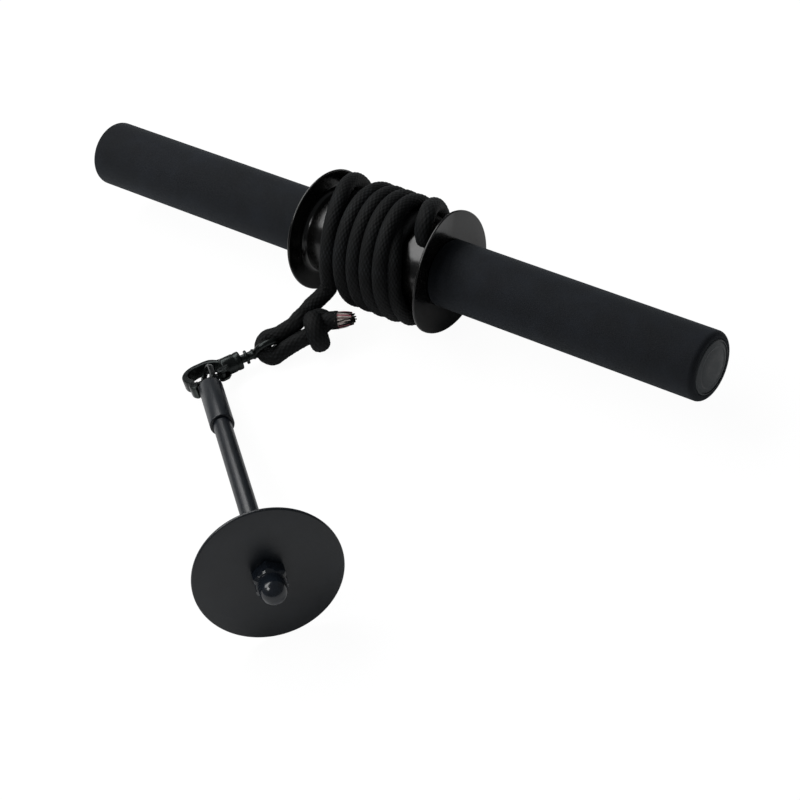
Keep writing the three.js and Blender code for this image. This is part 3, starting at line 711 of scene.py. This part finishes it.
# %% Hook body
HOOK_ROLL = 12
hook = aimed(floor_place(*EYE), HOOK_HEADING, HOOK_SLOPE, HOOK_ROLL)
BARREL_START, BARREL_END, BARREL_RADIUS = 16, 28, 5.25
BOW_CENTRE, BOW_RADIUS, BOW_THICKNESS, BOW_HEIGHT = 40.4, 9.8, 3.6, 7.4
NOSE_LIP, NOSE_WIDTH, NOSE_FLARE = 1.4, 3, 5.2
GATE_Y, GATE_PIVOT = 6.8, 29.2
LUG_THICKNESS, LUG_SIDE = 1.5, 2.55
bow_inner = BOW_RADIUS - BOW_THICKNESS
nose_start = BOW_CENTRE + bow_inner * math.cos(math.radians(46))
nose_out = BOW_RADIUS + NOSE_FLARE
barrel_outline = from_place(BARREL_START, (2.4, 2.75), (0.5, 2.8))
barrel_outline += arc(BARREL_START + 0.5, 3.4, 0.6, 270, 180, 3)
barrel_outline += [(BARREL_START - 0.1, 4.2)] + arc(BARREL_START + 0.9, 4.35, 0.9, 180, 90, 5)
barrel_outline += from_place(BARREL_START, (2.6, 5.25), (3.2, 5.0), (3.8, 5.0), (4.4, 5.25))
barrel_outline += arc(BARREL_END - 1.6, BARREL_RADIUS - 1.6, 1.6, 90, 0, 6)
barrel_outline += [(BARREL_END, 0), (BARREL_END - 4, 0), (BARREL_END - 4, 3.8), (BARREL_START + 2.4, 3.8)]
barrel = turned_piece("barrel", barrel_outline, hook, sides=96)
bow_outline = from_place(BARREL_END, (-3.6, -1.65), (-3.6, -4.45), (0, -5.25), (1.8, -7.4), (3.6, -8.9),
                         (5.6, -9.6), (7.2, -BOW_RADIUS))
bow_outline += arc(BOW_CENTRE, 0, BOW_RADIUS, -90, 38, 32)
bow_outline += [(nose_start + NOSE_WIDTH + NOSE_LIP * 0.9, BOW_RADIUS - 0.4),
                (nose_start + NOSE_WIDTH + NOSE_LIP * 0.8, BOW_RADIUS + NOSE_FLARE / 3),
                (nose_start + NOSE_WIDTH + 0.6, nose_out - 2.0),
                (nose_start + NOSE_WIDTH - 0.4, nose_out - 0.5),
                (nose_start + NOSE_WIDTH / 3 + 0.6, nose_out),
                (nose_start + 0.2, nose_out - 0.7), (nose_start - 0.5, nose_out - 2.2),
                (nose_start - NOSE_LIP, BOW_RADIUS - NOSE_LIP + NOSE_WIDTH / 2),
                (nose_start - NOSE_LIP, BOW_RADIUS - NOSE_LIP), (nose_start + 0.3, BOW_RADIUS - NOSE_LIP)]
bow_outline += arc(BOW_CENTRE, 0, bow_inner, 46, -90, 28)
bow_outline += from_place(BARREL_END, (7.2, -bow_inner), (4.4, -5.4), (2.2, -3.6), (0, -1.65))
bow = flat_piece("bow", [bow_outline], BOW_HEIGHT, 0.9, hook)
lugs = []
for side in (-1, 1):
    lug_outline = [(BARREL_END - 3.6, GATE_Y - 3.6), (GATE_PIVOT, GATE_Y - 2.4)]
    lug_outline += arc(GATE_PIVOT, GATE_Y, 2.4, -60, 90, 12)
    lug_outline += [(BARREL_END - 1.6, GATE_Y + 2.2), (BARREL_END - 3.6, GATE_Y - 0.6)]
    lugs.append(flat_piece(f"lug_{side + 1}", [lug_outline], LUG_THICKNESS, 0.35, hook,
                           offset_z=LUG_SIDE * side))
hook_body = joined("hook_casting", [bow, barrel, *lugs])
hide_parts("hook_body")
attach(hook_body, "hook")
print("hook", len(hook_body.data.polygons), "faces")

# %% [markdown]
# The gate is a flat bar with a round end between the lugs. It turns on a small rivet, whose ends show
# beside the lugs, and its tip rests behind the hook's nose.

# %% Gate and its rivet
RIVET_HALF, RIVET_RADIUS, RIVET_EDGE = 3.3, 1.0, 0.25
gate_outline = arc(GATE_PIVOT, GATE_Y, 1.9, 70, 290, 20)
gate_outline += [(GATE_PIVOT + 3.4, GATE_Y - 1.3), (nose_start - 1.3, GATE_Y - 1.3),
                 (nose_start - 0.3, GATE_Y - 0.6), (nose_start, GATE_Y + 0.3),
                 (nose_start - 0.1, GATE_Y + 1.3), (GATE_PIVOT + 3.4, GATE_Y + 1.3)]
gate = flat_piece("gate_bar", [gate_outline], 3.0, 0.55, hook)
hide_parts("hook_gate")
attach(gate, "gate")
rivet_end, rivet_side = RIVET_HALF - RIVET_EDGE, RIVET_RADIUS - RIVET_EDGE
rivet_outline = [(-RIVET_HALF, 0)] + arc(-rivet_end, rivet_side, RIVET_EDGE, 180, 90, 3)
rivet_outline += arc(rivet_end, rivet_side, RIVET_EDGE, 90, 0, 3) + [(RIVET_HALF, 0)]
across_hook = hook @ Matrix.Translation((GATE_PIVOT * MM, GATE_Y * MM, 0))
across_hook = across_hook @ Matrix.Rotation(math.pi / 2, 4, "Y")
gate_rivet = turned_piece("gate_rivet", rivet_outline, across_hook, sides=32)
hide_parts("gate_pin")
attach(gate_rivet, "hook")
print("gate made")

# %% [markdown]
# The loading pin is a steel rod with a flat eye in a sleeve at one end and the load disc at the other.
# A jam nut and an acorn nut clamp the disc. It lies with the disc's rim on the floor.

# %% Loading pin
PIN_EYE = Vector((-47.8, -108.6, 8))
PIN_HEADING, PIN_ROLL = -37.6, 58
PIN_REACH, DISC_RADIUS, DISC_THICKNESS = 188, 37.5, 2
ROD_RADIUS, THREAD_RADIUS, THREAD_START, THREAD_PAST = 5, 4.85, 12, 11.7
BORE_RADIUS, NUT_GAP = 5.3, 0.3
pin_span = math.hypot(PIN_REACH, DISC_RADIUS)
pin_slope = math.degrees(math.atan2(DISC_RADIUS, PIN_REACH) - math.asin(PIN_EYE.z / pin_span))
pin = aimed(floor_place(*PIN_EYE), PIN_HEADING, pin_slope, PIN_ROLL)
EYE_HALF, HOLE_HALF, HOLE_REACH, EYE_TIP, TANG_HALF = 7, 4.7, 6.9, -9.2, 4.6
SLEEVE_START = 9.8
SLEEVE_END = SLEEVE_START + 40
SLEEVE_RADIUS = 6.65
eye_outline = arc(EYE_TIP + EYE_HALF, 0, EYE_HALF, 90, 270, 36)
eye_outline += [(4.5, -EYE_HALF)] + arc(7.9, -5.4, 1.6, -90, 0, 6)
eye_outline += [(SLEEVE_START - 0.3, -TANG_HALF), (SLEEVE_START + 9, -TANG_HALF),
                (SLEEVE_START + 9, TANG_HALF), (SLEEVE_START - 0.3, TANG_HALF)]
eye_outline += arc(7.9, 5.4, 1.6, 0, 90, 6) + [(4.5, EYE_HALF)]
hole_outline = arc(-HOLE_REACH + HOLE_HALF, 0, HOLE_HALF, 270, 90, 24)
hole_outline += arc(HOLE_REACH - HOLE_HALF, 0, HOLE_HALF, 90, -90, 24)
pin_eye = flat_piece("forged_eye", [eye_outline, hole_outline], 3.0, 0.8, pin)
sleeve_outline = arc(SLEEVE_START + 0.5, SLEEVE_RADIUS - 0.5, 0.5, 180, 90, 4)
sleeve_outline += arc(SLEEVE_END - 0.4, SLEEVE_RADIUS - 0.4, 0.4, 90, 0, 4)
sleeve_outline += [(SLEEVE_END, BORE_RADIUS), (SLEEVE_START, BORE_RADIUS)]
sleeve = turned_piece("eye_sleeve", sleeve_outline, pin, sides=96)
nut_face = PIN_REACH + DISC_THICKNESS + NUT_GAP
rod_end = nut_face + THREAD_PAST
rod_outline = [(SLEEVE_START + 9.3, 0), (SLEEVE_START + 9.3, ROD_RADIUS),
               (PIN_REACH - THREAD_START, ROD_RADIUS), (PIN_REACH - THREAD_START + 0.4, THREAD_RADIUS),
               (rod_end - 1, THREAD_RADIUS), (rod_end, 4.2), (rod_end, 0)]
rod = turned_piece("steel_rod", rod_outline, pin, sides=96)
for piece, node in ((pin_eye, "pin_eye"), (sleeve, "pin_sleeve"), (rod, "pin_rod")):
    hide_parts(node)
    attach(piece, "pin")
print("pin slope", round(pin_slope, 2))

# %% [markdown]
# The disc is a plain plate with rounded rims. Each nut starts as a turned shape as wide as its corners
# and is cut to its flats, and the acorn nut ends in a dome on a narrow neck.

# %% Disc and nuts
NUT_WIDTH, NUT_FACE_RADIUS, JAM_HEIGHT = 16, 7.6, 5
DOME_RADIUS, ACORN_HEIGHT, ACORN_DEPTH = 6.9, 20.3, 12
DISC_EDGE = 0.8
nut_corner = NUT_WIDTH / 2 / math.cos(math.pi / 6)
disc_back = PIN_REACH + DISC_THICKNESS
disc_outline = [(PIN_REACH, BORE_RADIUS), (PIN_REACH, 14), (PIN_REACH, 26)]
disc_outline += arc(PIN_REACH + DISC_EDGE, DISC_RADIUS - DISC_EDGE, DISC_EDGE, 180, 90, 5)
disc_outline += arc(disc_back - DISC_EDGE, DISC_RADIUS - DISC_EDGE, DISC_EDGE, 90, 0, 5)
disc_outline += [(disc_back, 26), (disc_back, 14), (disc_back, BORE_RADIUS)]
disc = turned_piece("load_plate_disc", disc_outline, pin, sides=256)
jam_end = PIN_REACH - NUT_GAP
jam_start = jam_end - JAM_HEIGHT
jam_outline = [(jam_start, BORE_RADIUS), (jam_start, NUT_FACE_RADIUS), (jam_start + 0.9, nut_corner),
               (jam_end - 0.9, nut_corner), (jam_end, NUT_FACE_RADIUS), (jam_end, BORE_RADIUS)]
jam_nut = turned_piece("jam_nut", jam_outline, pin, sides=180, flats=NUT_WIDTH, sharp=24)
dome_centre = nut_face + ACORN_HEIGHT - DOME_RADIUS
acorn_outline = from_place(nut_face, (0, BORE_RADIUS), (0, NUT_FACE_RADIUS), (0.9, nut_corner),
                           (7.0, nut_corner), (8, 7.7), (8.3, 7.1))
acorn_outline += [(dome_centre - 2.5, 6.95)] + arc(dome_centre, 0, DOME_RADIUS, 90, 0, 16)
acorn_outline += from_place(nut_face, (ACORN_DEPTH, 0), (ACORN_DEPTH, BORE_RADIUS))
acorn = turned_piece("acorn_cap", acorn_outline, pin, sides=180, flats=NUT_WIDTH, sharp=24)
for piece, node in ((disc, "load_disc"), (jam_nut, "disc_jam_nut"), (acorn, "acorn_nut")):
    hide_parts(node)
    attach(piece, "pin")
print("disc and nuts made")

# %% [markdown]
# Every finish is a Principled shader with a few nodes. Colours are written as they are picked on a
# screen, and one function turns them to linear light. One small helper adds a node with its settings
# and links. A finish's colour, roughness and bump each follow a pattern from 0 to 1, mostly a grain of
# a real size, so that no surface is perfectly even.

# %% Material helpers
def linear(colour):
    """A linear RGBA colour from an sRGB hex value."""
    parts = [int(colour[i:i + 2], 16) / 255 for i in (1, 3, 5)]
    return [c / 12.92 if c <= 0.04045 else ((c + 0.055) / 1.055) ** 2.4 for c in parts] + [1.0]


def add_node(tree, kind, settings=None, inputs=None, stops=(), **values):
    """A node with its settings, inputs from sockets or numbers, and a ramp's (position, colour) stops."""
    made = tree.nodes.new(kind)
    for name, value in (settings or {}).items():
        setattr(made, name, value)
    for name, value in values.items():
        made.inputs[name.replace("_", " ")].default_value = value
    for name, value in (inputs or {}).items():
        if isinstance(value, float):
            made.inputs[name].default_value = value
        else:
            tree.links.new(value, made.inputs[name])
    if stops:
        elements = made.color_ramp.elements
        while len(elements) < len(stops):
            elements.new(0.5)
        for element, (position, colour) in zip(elements, stops):
            element.position, element.color = position, linear(colour)
    return made


def new_finish(name, roughness, metallic=0.0, ior=1.5, **sockets):
    """A material with a Principled shader, whose constant values sit on its own sockets."""
    material = bpy.data.materials.new(name)
    material.use_nodes = True
    tree = material.node_tree
    shader = tree.nodes["Principled BSDF"]
    shader.inputs["Roughness"].default_value = roughness
    shader.inputs["Metallic"].default_value = metallic
    shader.inputs["IOR"].default_value = ior
    for socket, value in sockets.items():
        shader.inputs[socket.replace("_", " ")].default_value = value
    return material, tree, shader


def per_metre(size_mm):
    """The scale of a noise whose grains are this many millimetres across."""
    return 1 / (size_mm * MM)


def grain(tree, size_mm, detail=3.0, roughness=0.55, stretch=(1, 1, 1)):
    """Noise in the object's own space, with grains of a real size."""
    where = add_node(tree, "ShaderNodeTexCoord").outputs["Object"]
    sized = add_node(tree, "ShaderNodeMapping", inputs={"Vector": where}, Scale=stretch).outputs["Vector"]
    noise = add_node(tree, "ShaderNodeTexNoise", inputs={"Vector": sized},
                     Scale=per_metre(size_mm), Detail=detail, Roughness=roughness)
    return noise.outputs["Fac"]


def surface(tree, shader, tone, stops, gloss=None, span=(), relief=None, depth_mm=0.0):
    """Colour from tone, roughness within a span from gloss, and a bump of a real depth from relief."""
    colour = add_node(tree, "ShaderNodeValToRGB", inputs={"Fac": tone}, stops=stops)
    tree.links.new(colour.outputs["Color"], shader.inputs["Base Color"])
    if gloss:
        rough = add_node(tree, "ShaderNodeMapRange", inputs={"Value": gloss},
                         From_Min=0.3, From_Max=0.7, To_Min=span[0], To_Max=span[1])
        tree.links.new(rough.outputs["Result"], shader.inputs["Roughness"])
    if relief:
        bump = add_node(tree, "ShaderNodeBump", inputs={"Height": relief}, Strength=1.0,
                        Distance=depth_mm * MM)
        tree.links.new(bump.outputs["Normal"], shader.inputs["Normal"])


print("mid grey in linear light", round(linear("#808080")[0], 3))

# %% [markdown]
# The grips are nitrile foam: thousands of closed cells well under a millimetre across, cut and skinned
# by moulding. They give a dead matte black with a faint grey bloom, and no clear highlight. The cells
# are drawn 0.7 mm wide, slightly coarse, so that the render shows them.

# %% Foam
foam_finish, tree, shader = new_finish("moulded_nitrile_foam", 0.88, ior=1.45, Sheen_Weight=0.1,
                                       Sheen_Roughness=0.6, Specular_IOR_Level=0.3)
shader.inputs["Sheen Tint"].default_value = linear("#8a949c")
cells = grain(tree, 0.7, detail=2.0)
bloom = grain(tree, 22, detail=4.0, roughness=0.6)
mixed = add_node(tree, "ShaderNodeMath", {"operation": "MULTIPLY_ADD"}, {0: cells, 1: 0.35, 2: bloom})
surface(tree, shader, mixed.outputs[0], [(0.4, "#080a0d"), (0.68, "#0e1116"), (0.95, "#161a21")],
        gloss=cells, span=(0.82, 0.95), relief=cells, depth_mm=0.12)
print("foam finish", foam_finish.name)

# %% [markdown]
# The end plugs are moulded polyethylene, greyer than the foam, and scuffed where the bar is stood on
# its end. The scuffs are lighter, rougher patches.

# %% Plug plastic
plug_finish, tree, shader = new_finish("scuffed_polyethylene", 0.55, ior=1.51)
scuffs = grain(tree, 2.2, detail=6.0, roughness=0.7)
surface(tree, shader, scuffs, [(0.38, "#1f2326"), (0.55, "#2c3134"), (0.72, "#4a4f52")],
        gloss=scuffs, span=(0.42, 0.7), relief=grain(tree, 0.9, detail=4.0), depth_mm=0.06)
print("plug finish", plug_finish.name)

# %% [markdown]
# The spool is steel under baked black enamel. Enamel is glass-smooth and deep black, with sharp
# reflections that waver slightly, because the paint dries with a faint orange peel. A few specks of
# dust dull it.

# %% Enamel
enamel_finish, tree, shader = new_finish("baked_black_enamel", 0.16, ior=1.46)
surface(tree, shader, grain(tree, 9), [(0.3, "#060606"), (0.7, "#0d0c0b")],
        gloss=grain(tree, 1.4, detail=6.0, roughness=0.75), span=(0.12, 0.3),
        relief=grain(tree, 3.2, detail=2.0), depth_mm=0.03)
print("enamel finish", enamel_finish.name)

# %% [markdown]
# The rod, sleeve and disc are powder-coated steel: an even satin black with a fine grain,
# and a soft grey sheen where they mirror the pale floor.

# %% Powder coat
powder_finish, tree, shader = new_finish("satin_powder_coat", 0.34, ior=1.48)
surface(tree, shader, grain(tree, 14, detail=4.0), [(0.3, "#0f1318"), (0.7, "#151a20")],
        gloss=grain(tree, 0.8, detail=4.0), span=(0.28, 0.42), relief=grain(tree, 0.6), depth_mm=0.02)
print("powder coat", powder_finish.name)

# %% [markdown]
# The acorn nut is the same black steel, but bought bright: its faces and dome are glossy, and they
# carry small sharp highlights. Its tone wanders a little, because the dip left the coat uneven.

# %% Acorn nut's coat
nut_finish, tree, shader = new_finish("glossy_black_nut", 0.16, ior=1.52)
surface(tree, shader, grain(tree, 6), [(0.3, "#12161b"), (0.7, "#1b2129")],
        gloss=grain(tree, 1.2, detail=4.0), span=(0.1, 0.26), relief=grain(tree, 1.6), depth_mm=0.03)
print("nut finish", nut_finish.name)

# %% [markdown]
# The hook, swivel eye, pin eye and jam nut are plated with black zinc, a thin dark metal skin with a
# greenish-grey shine. On edges that rub it has worn paler.

# %% Black zinc
zinc_finish, tree, shader = new_finish("black_zinc_plate", 0.3, metallic=0.85)
worn = add_node(tree, "ShaderNodeNewGeometry").outputs["Pointiness"]
edges = add_node(tree, "ShaderNodeMapRange", inputs={"Value": worn},
                 From_Min=0.52, From_Max=0.62, To_Min=0.0, To_Max=0.5)
patches = grain(tree, 3.0, detail=5.0)
wear = add_node(tree, "ShaderNodeMath", {"operation": "MULTIPLY_ADD"},
                {0: patches, 1: 0.4, 2: edges.outputs["Result"]})
surface(tree, shader, wear.outputs[0], [(0.1, "#1d2020"), (0.35, "#2b2f2e"), (0.75, "#6a716c")],
        gloss=patches, span=(0.24, 0.4), relief=grain(tree, 0.8, detail=4.0), depth_mm=0.03)
print("zinc finish", zinc_finish.name)

# %% [markdown]
# The bar's tube, the lock pin and the gate's rivet are drawn steel: bright, with fine lines along the
# way that it was drawn.

# %% Drawn steel
steel_finish, tree, shader = new_finish("drawn_steel", 0.3, metallic=1.0)
lines = grain(tree, 0.5, stretch=(0.04, 1, 1))
surface(tree, shader, lines, [(0.3, "#8d9092"), (0.7, "#a9acae")], gloss=lines, span=(0.22, 0.4))
print("steel finish", steel_finish.name)

# %% [markdown]
# The rope's strands are spun polyester, dyed black. Each strand is a bundle of fibres with a soft
# sheen, slightly blue in the light. Dust and wear make some stretches greyer. The colour also carries
# painted light: the braid's grooves are painted darker as painted shade, and the fibre grain leaves
# paler specks on the highest crests as painted highlights. The fibre grain is drawn 0.35 mm wide.

# %% Black rope
rope_finish, tree, shader = new_finish("braided_black_polyester", 0.72, ior=1.54, Sheen_Weight=0.03,
                                       Sheen_Roughness=0.45, Specular_IOR_Level=0.16)
shader.inputs["Sheen Tint"].default_value = linear("#7f8a94")
fibres = grain(tree, 0.35)
dust = grain(tree, 12)
relief = add_node(tree, "ShaderNodeAttribute", {"attribute_name": "braid_relief"}).outputs["Fac"]
# The fibre grain and the dust, times the braid's height, set the colour: painted shade darkens the
# grooves, and painted highlight specks light the highest crests.
grain_dust_and_sparkle = add_node(tree, "ShaderNodeMath", {"operation": "MULTIPLY_ADD"}, {0: fibres, 1: 0.6, 2: dust})
painted_braid_light_and_shade = add_node(tree, "ShaderNodeMath", {"operation": "MULTIPLY"}, {0: relief, 1: grain_dust_and_sparkle.outputs[0]})
surface(tree, shader, painted_braid_light_and_shade.outputs[0],
        [(0.15, "#010101"), (0.45, "#030404"), (0.75, "#0b0d0e"), (0.95, "#202427")],
        gloss=fibres, span=(0.6, 0.85), relief=fibres, depth_mm=0.1)
print("rope finish", rope_finish.name)

# %% [markdown]
# The core's yarns are undyed and red polyester, matte and fluffy, a little grubby at their cut ends.

# %% Core yarns
yarn_finishes = []
for name, colours in (("undyed_core_yarn", ("#7c6e6a", "#d8cbc4")),
                      ("red_core_yarn", ("#7a2a3a", "#b2606f"))):
    yarn, tree, shader = new_finish(name, 0.85, ior=1.54, Sheen_Weight=0.4)
    twist = grain(tree, 0.6)
    surface(tree, shader, twist, [(0.3, colours[0]), (0.65, colours[1])], relief=twist, depth_mm=0.1)
    yarn_finishes.append(yarn)
print("yarn finishes", [m.name for m in yarn_finishes])

# %% [markdown]
# Each piece now gets its finish. The CAD pieces that still show, the tube, the lock pin and the anchor
# knot, are finished too. The tail has three finishes, and each yarn's faces say which is theirs.

# %% Put the finishes on
def wear_finish(slot, materials, *pieces):
    """Gives pieces their materials. The slot is not used."""
    for piece in pieces:
        piece = bpy.data.objects[piece] if isinstance(piece, str) else piece
        piece.data.materials.clear()
        for material in materials:
            piece.data.materials.append(material)


wear_finish("grip_foam", [foam_finish], "left_foam_sleeve", "right_foam_sleeve")
wear_finish("plug_plastic", [plug_finish], "left_plug_cap", "right_plug_cap")
wear_finish("black_enamel", [enamel_finish], "left_flange_plate", "right_flange_plate", drum)
wear_finish("satin_black_steel", [powder_finish], sleeve, rod, disc)
wear_finish("satin_black_steel", [nut_finish], acorn)
wear_finish("black_zinc", [zinc_finish], swivel_eye, hook_body, gate, pin_eye, jam_nut)
wear_finish("bright_steel", [steel_finish], gate_rivet, "bar_tube", "spool_lock_pin")
wear_finish("black_rope", [rope_finish], leash_rope, knot_wraps, tail_sleeve,
            rope_outer, rope_first, rope_inner, "rope_anchor_knot")
wear_finish("frayed_rope", [*yarn_finishes, rope_finish], frayed_yarns)
frayed_yarns.data.polygons.foreach_set("material_index", yarn_kinds)

# %% [markdown]
# The floor is a pale sweep. To the camera it glows nearly white, and a small part of its light still
# comes from the lamps, so that the object keeps a soft shadow. Reflections see it as the lamps light
# it. The world is white to the camera, and lights the object only dimly.

# %% Floor and world
FLOOR_HALF = 8
FLOOR_GLOW, FLOOR_GLOW_SHARE, WORLD_GLOW = 1.04, 0.92, 0.16
corners = [(x * FLOOR_HALF, y * FLOOR_HALF, 0) for x, y in ((-1, -1), (1, -1), (1, 1), (-1, 1))]
floor = add_mesh("floor", corners, [(0, 1, 2, 3)])
floor_finish, tree, shader = new_finish("white_sweep", 0.9, Specular_IOR_Level=0.1)
shader.inputs["Base Color"].default_value = linear("#f4f4f4")
seen = add_node(tree, "ShaderNodeLightPath")
lit = add_node(tree, "ShaderNodeEmission", Color=(1, 1, 1, 1), Strength=FLOOR_GLOW)
share = add_node(tree, "ShaderNodeMath", {"operation": "MULTIPLY"},
                 {0: seen.outputs["Is Camera Ray"], 1: FLOOR_GLOW_SHARE})
blended = add_node(tree, "ShaderNodeMixShader", None,
                   {0: share.outputs[0], 1: shader.outputs["BSDF"], 2: lit.outputs["Emission"]})
tree.links.new(blended.outputs["Shader"], tree.nodes["Material Output"].inputs["Surface"])
floor.data.materials.append(floor_finish)

world = bpy.data.worlds.new("studio")
bpy.context.scene.world = world
world.use_nodes = True
tree = world.node_tree
dim = tree.nodes["Background"]
dim.inputs["Color"].default_value = linear("#e8ecf0")
dim.inputs["Strength"].default_value = WORLD_GLOW
white = add_node(tree, "ShaderNodeBackground", Color=(1, 1, 1, 1), Strength=1.0)
seen = add_node(tree, "ShaderNodeLightPath")
both = add_node(tree, "ShaderNodeMixShader", None,
                {0: seen.outputs["Is Camera Ray"], 1: dim.outputs[0], 2: white.outputs[0]})
tree.links.new(both.outputs["Shader"], tree.nodes["World Output"].inputs["Surface"])
print("floor and world made")

# %% [markdown]
# Two soft boxes light the object. The large one, high on the left, makes the bright patch on the drum.
# The small, weaker one in front fills the shadows and puts a sharp point of light on the acorn nut.

# %% Lamps
def soft_box(name, direction, distance, size, power):
    """An area lamp seen from the middle of the bar in a direction, facing it."""
    lamp = bpy.data.lights.new(name, "AREA")
    lamp.shape = "RECTANGLE"
    lamp.size, lamp.size_y = size
    lamp.energy = power
    holder = in_scene(name, lamp)
    azimuth, elevation = (math.radians(v) for v in direction)
    level = math.cos(elevation)
    away = Vector((math.sin(azimuth) * level, math.cos(azimuth) * level, math.sin(elevation)))
    holder.location = bar_centre + away * distance
    holder.rotation_mode = "QUATERNION"
    holder.rotation_quaternion = away.to_track_quat("Z", "Y")


soft_box("left_soft_box", (-93, 52), 1.6, (2.0, 0.8), 26)
soft_box("front_soft_box", (195, 48), 1.8, (0.5, 0.5), 6)
print("lamps made")

# %% Update the scene
bpy.context.view_layer.update()
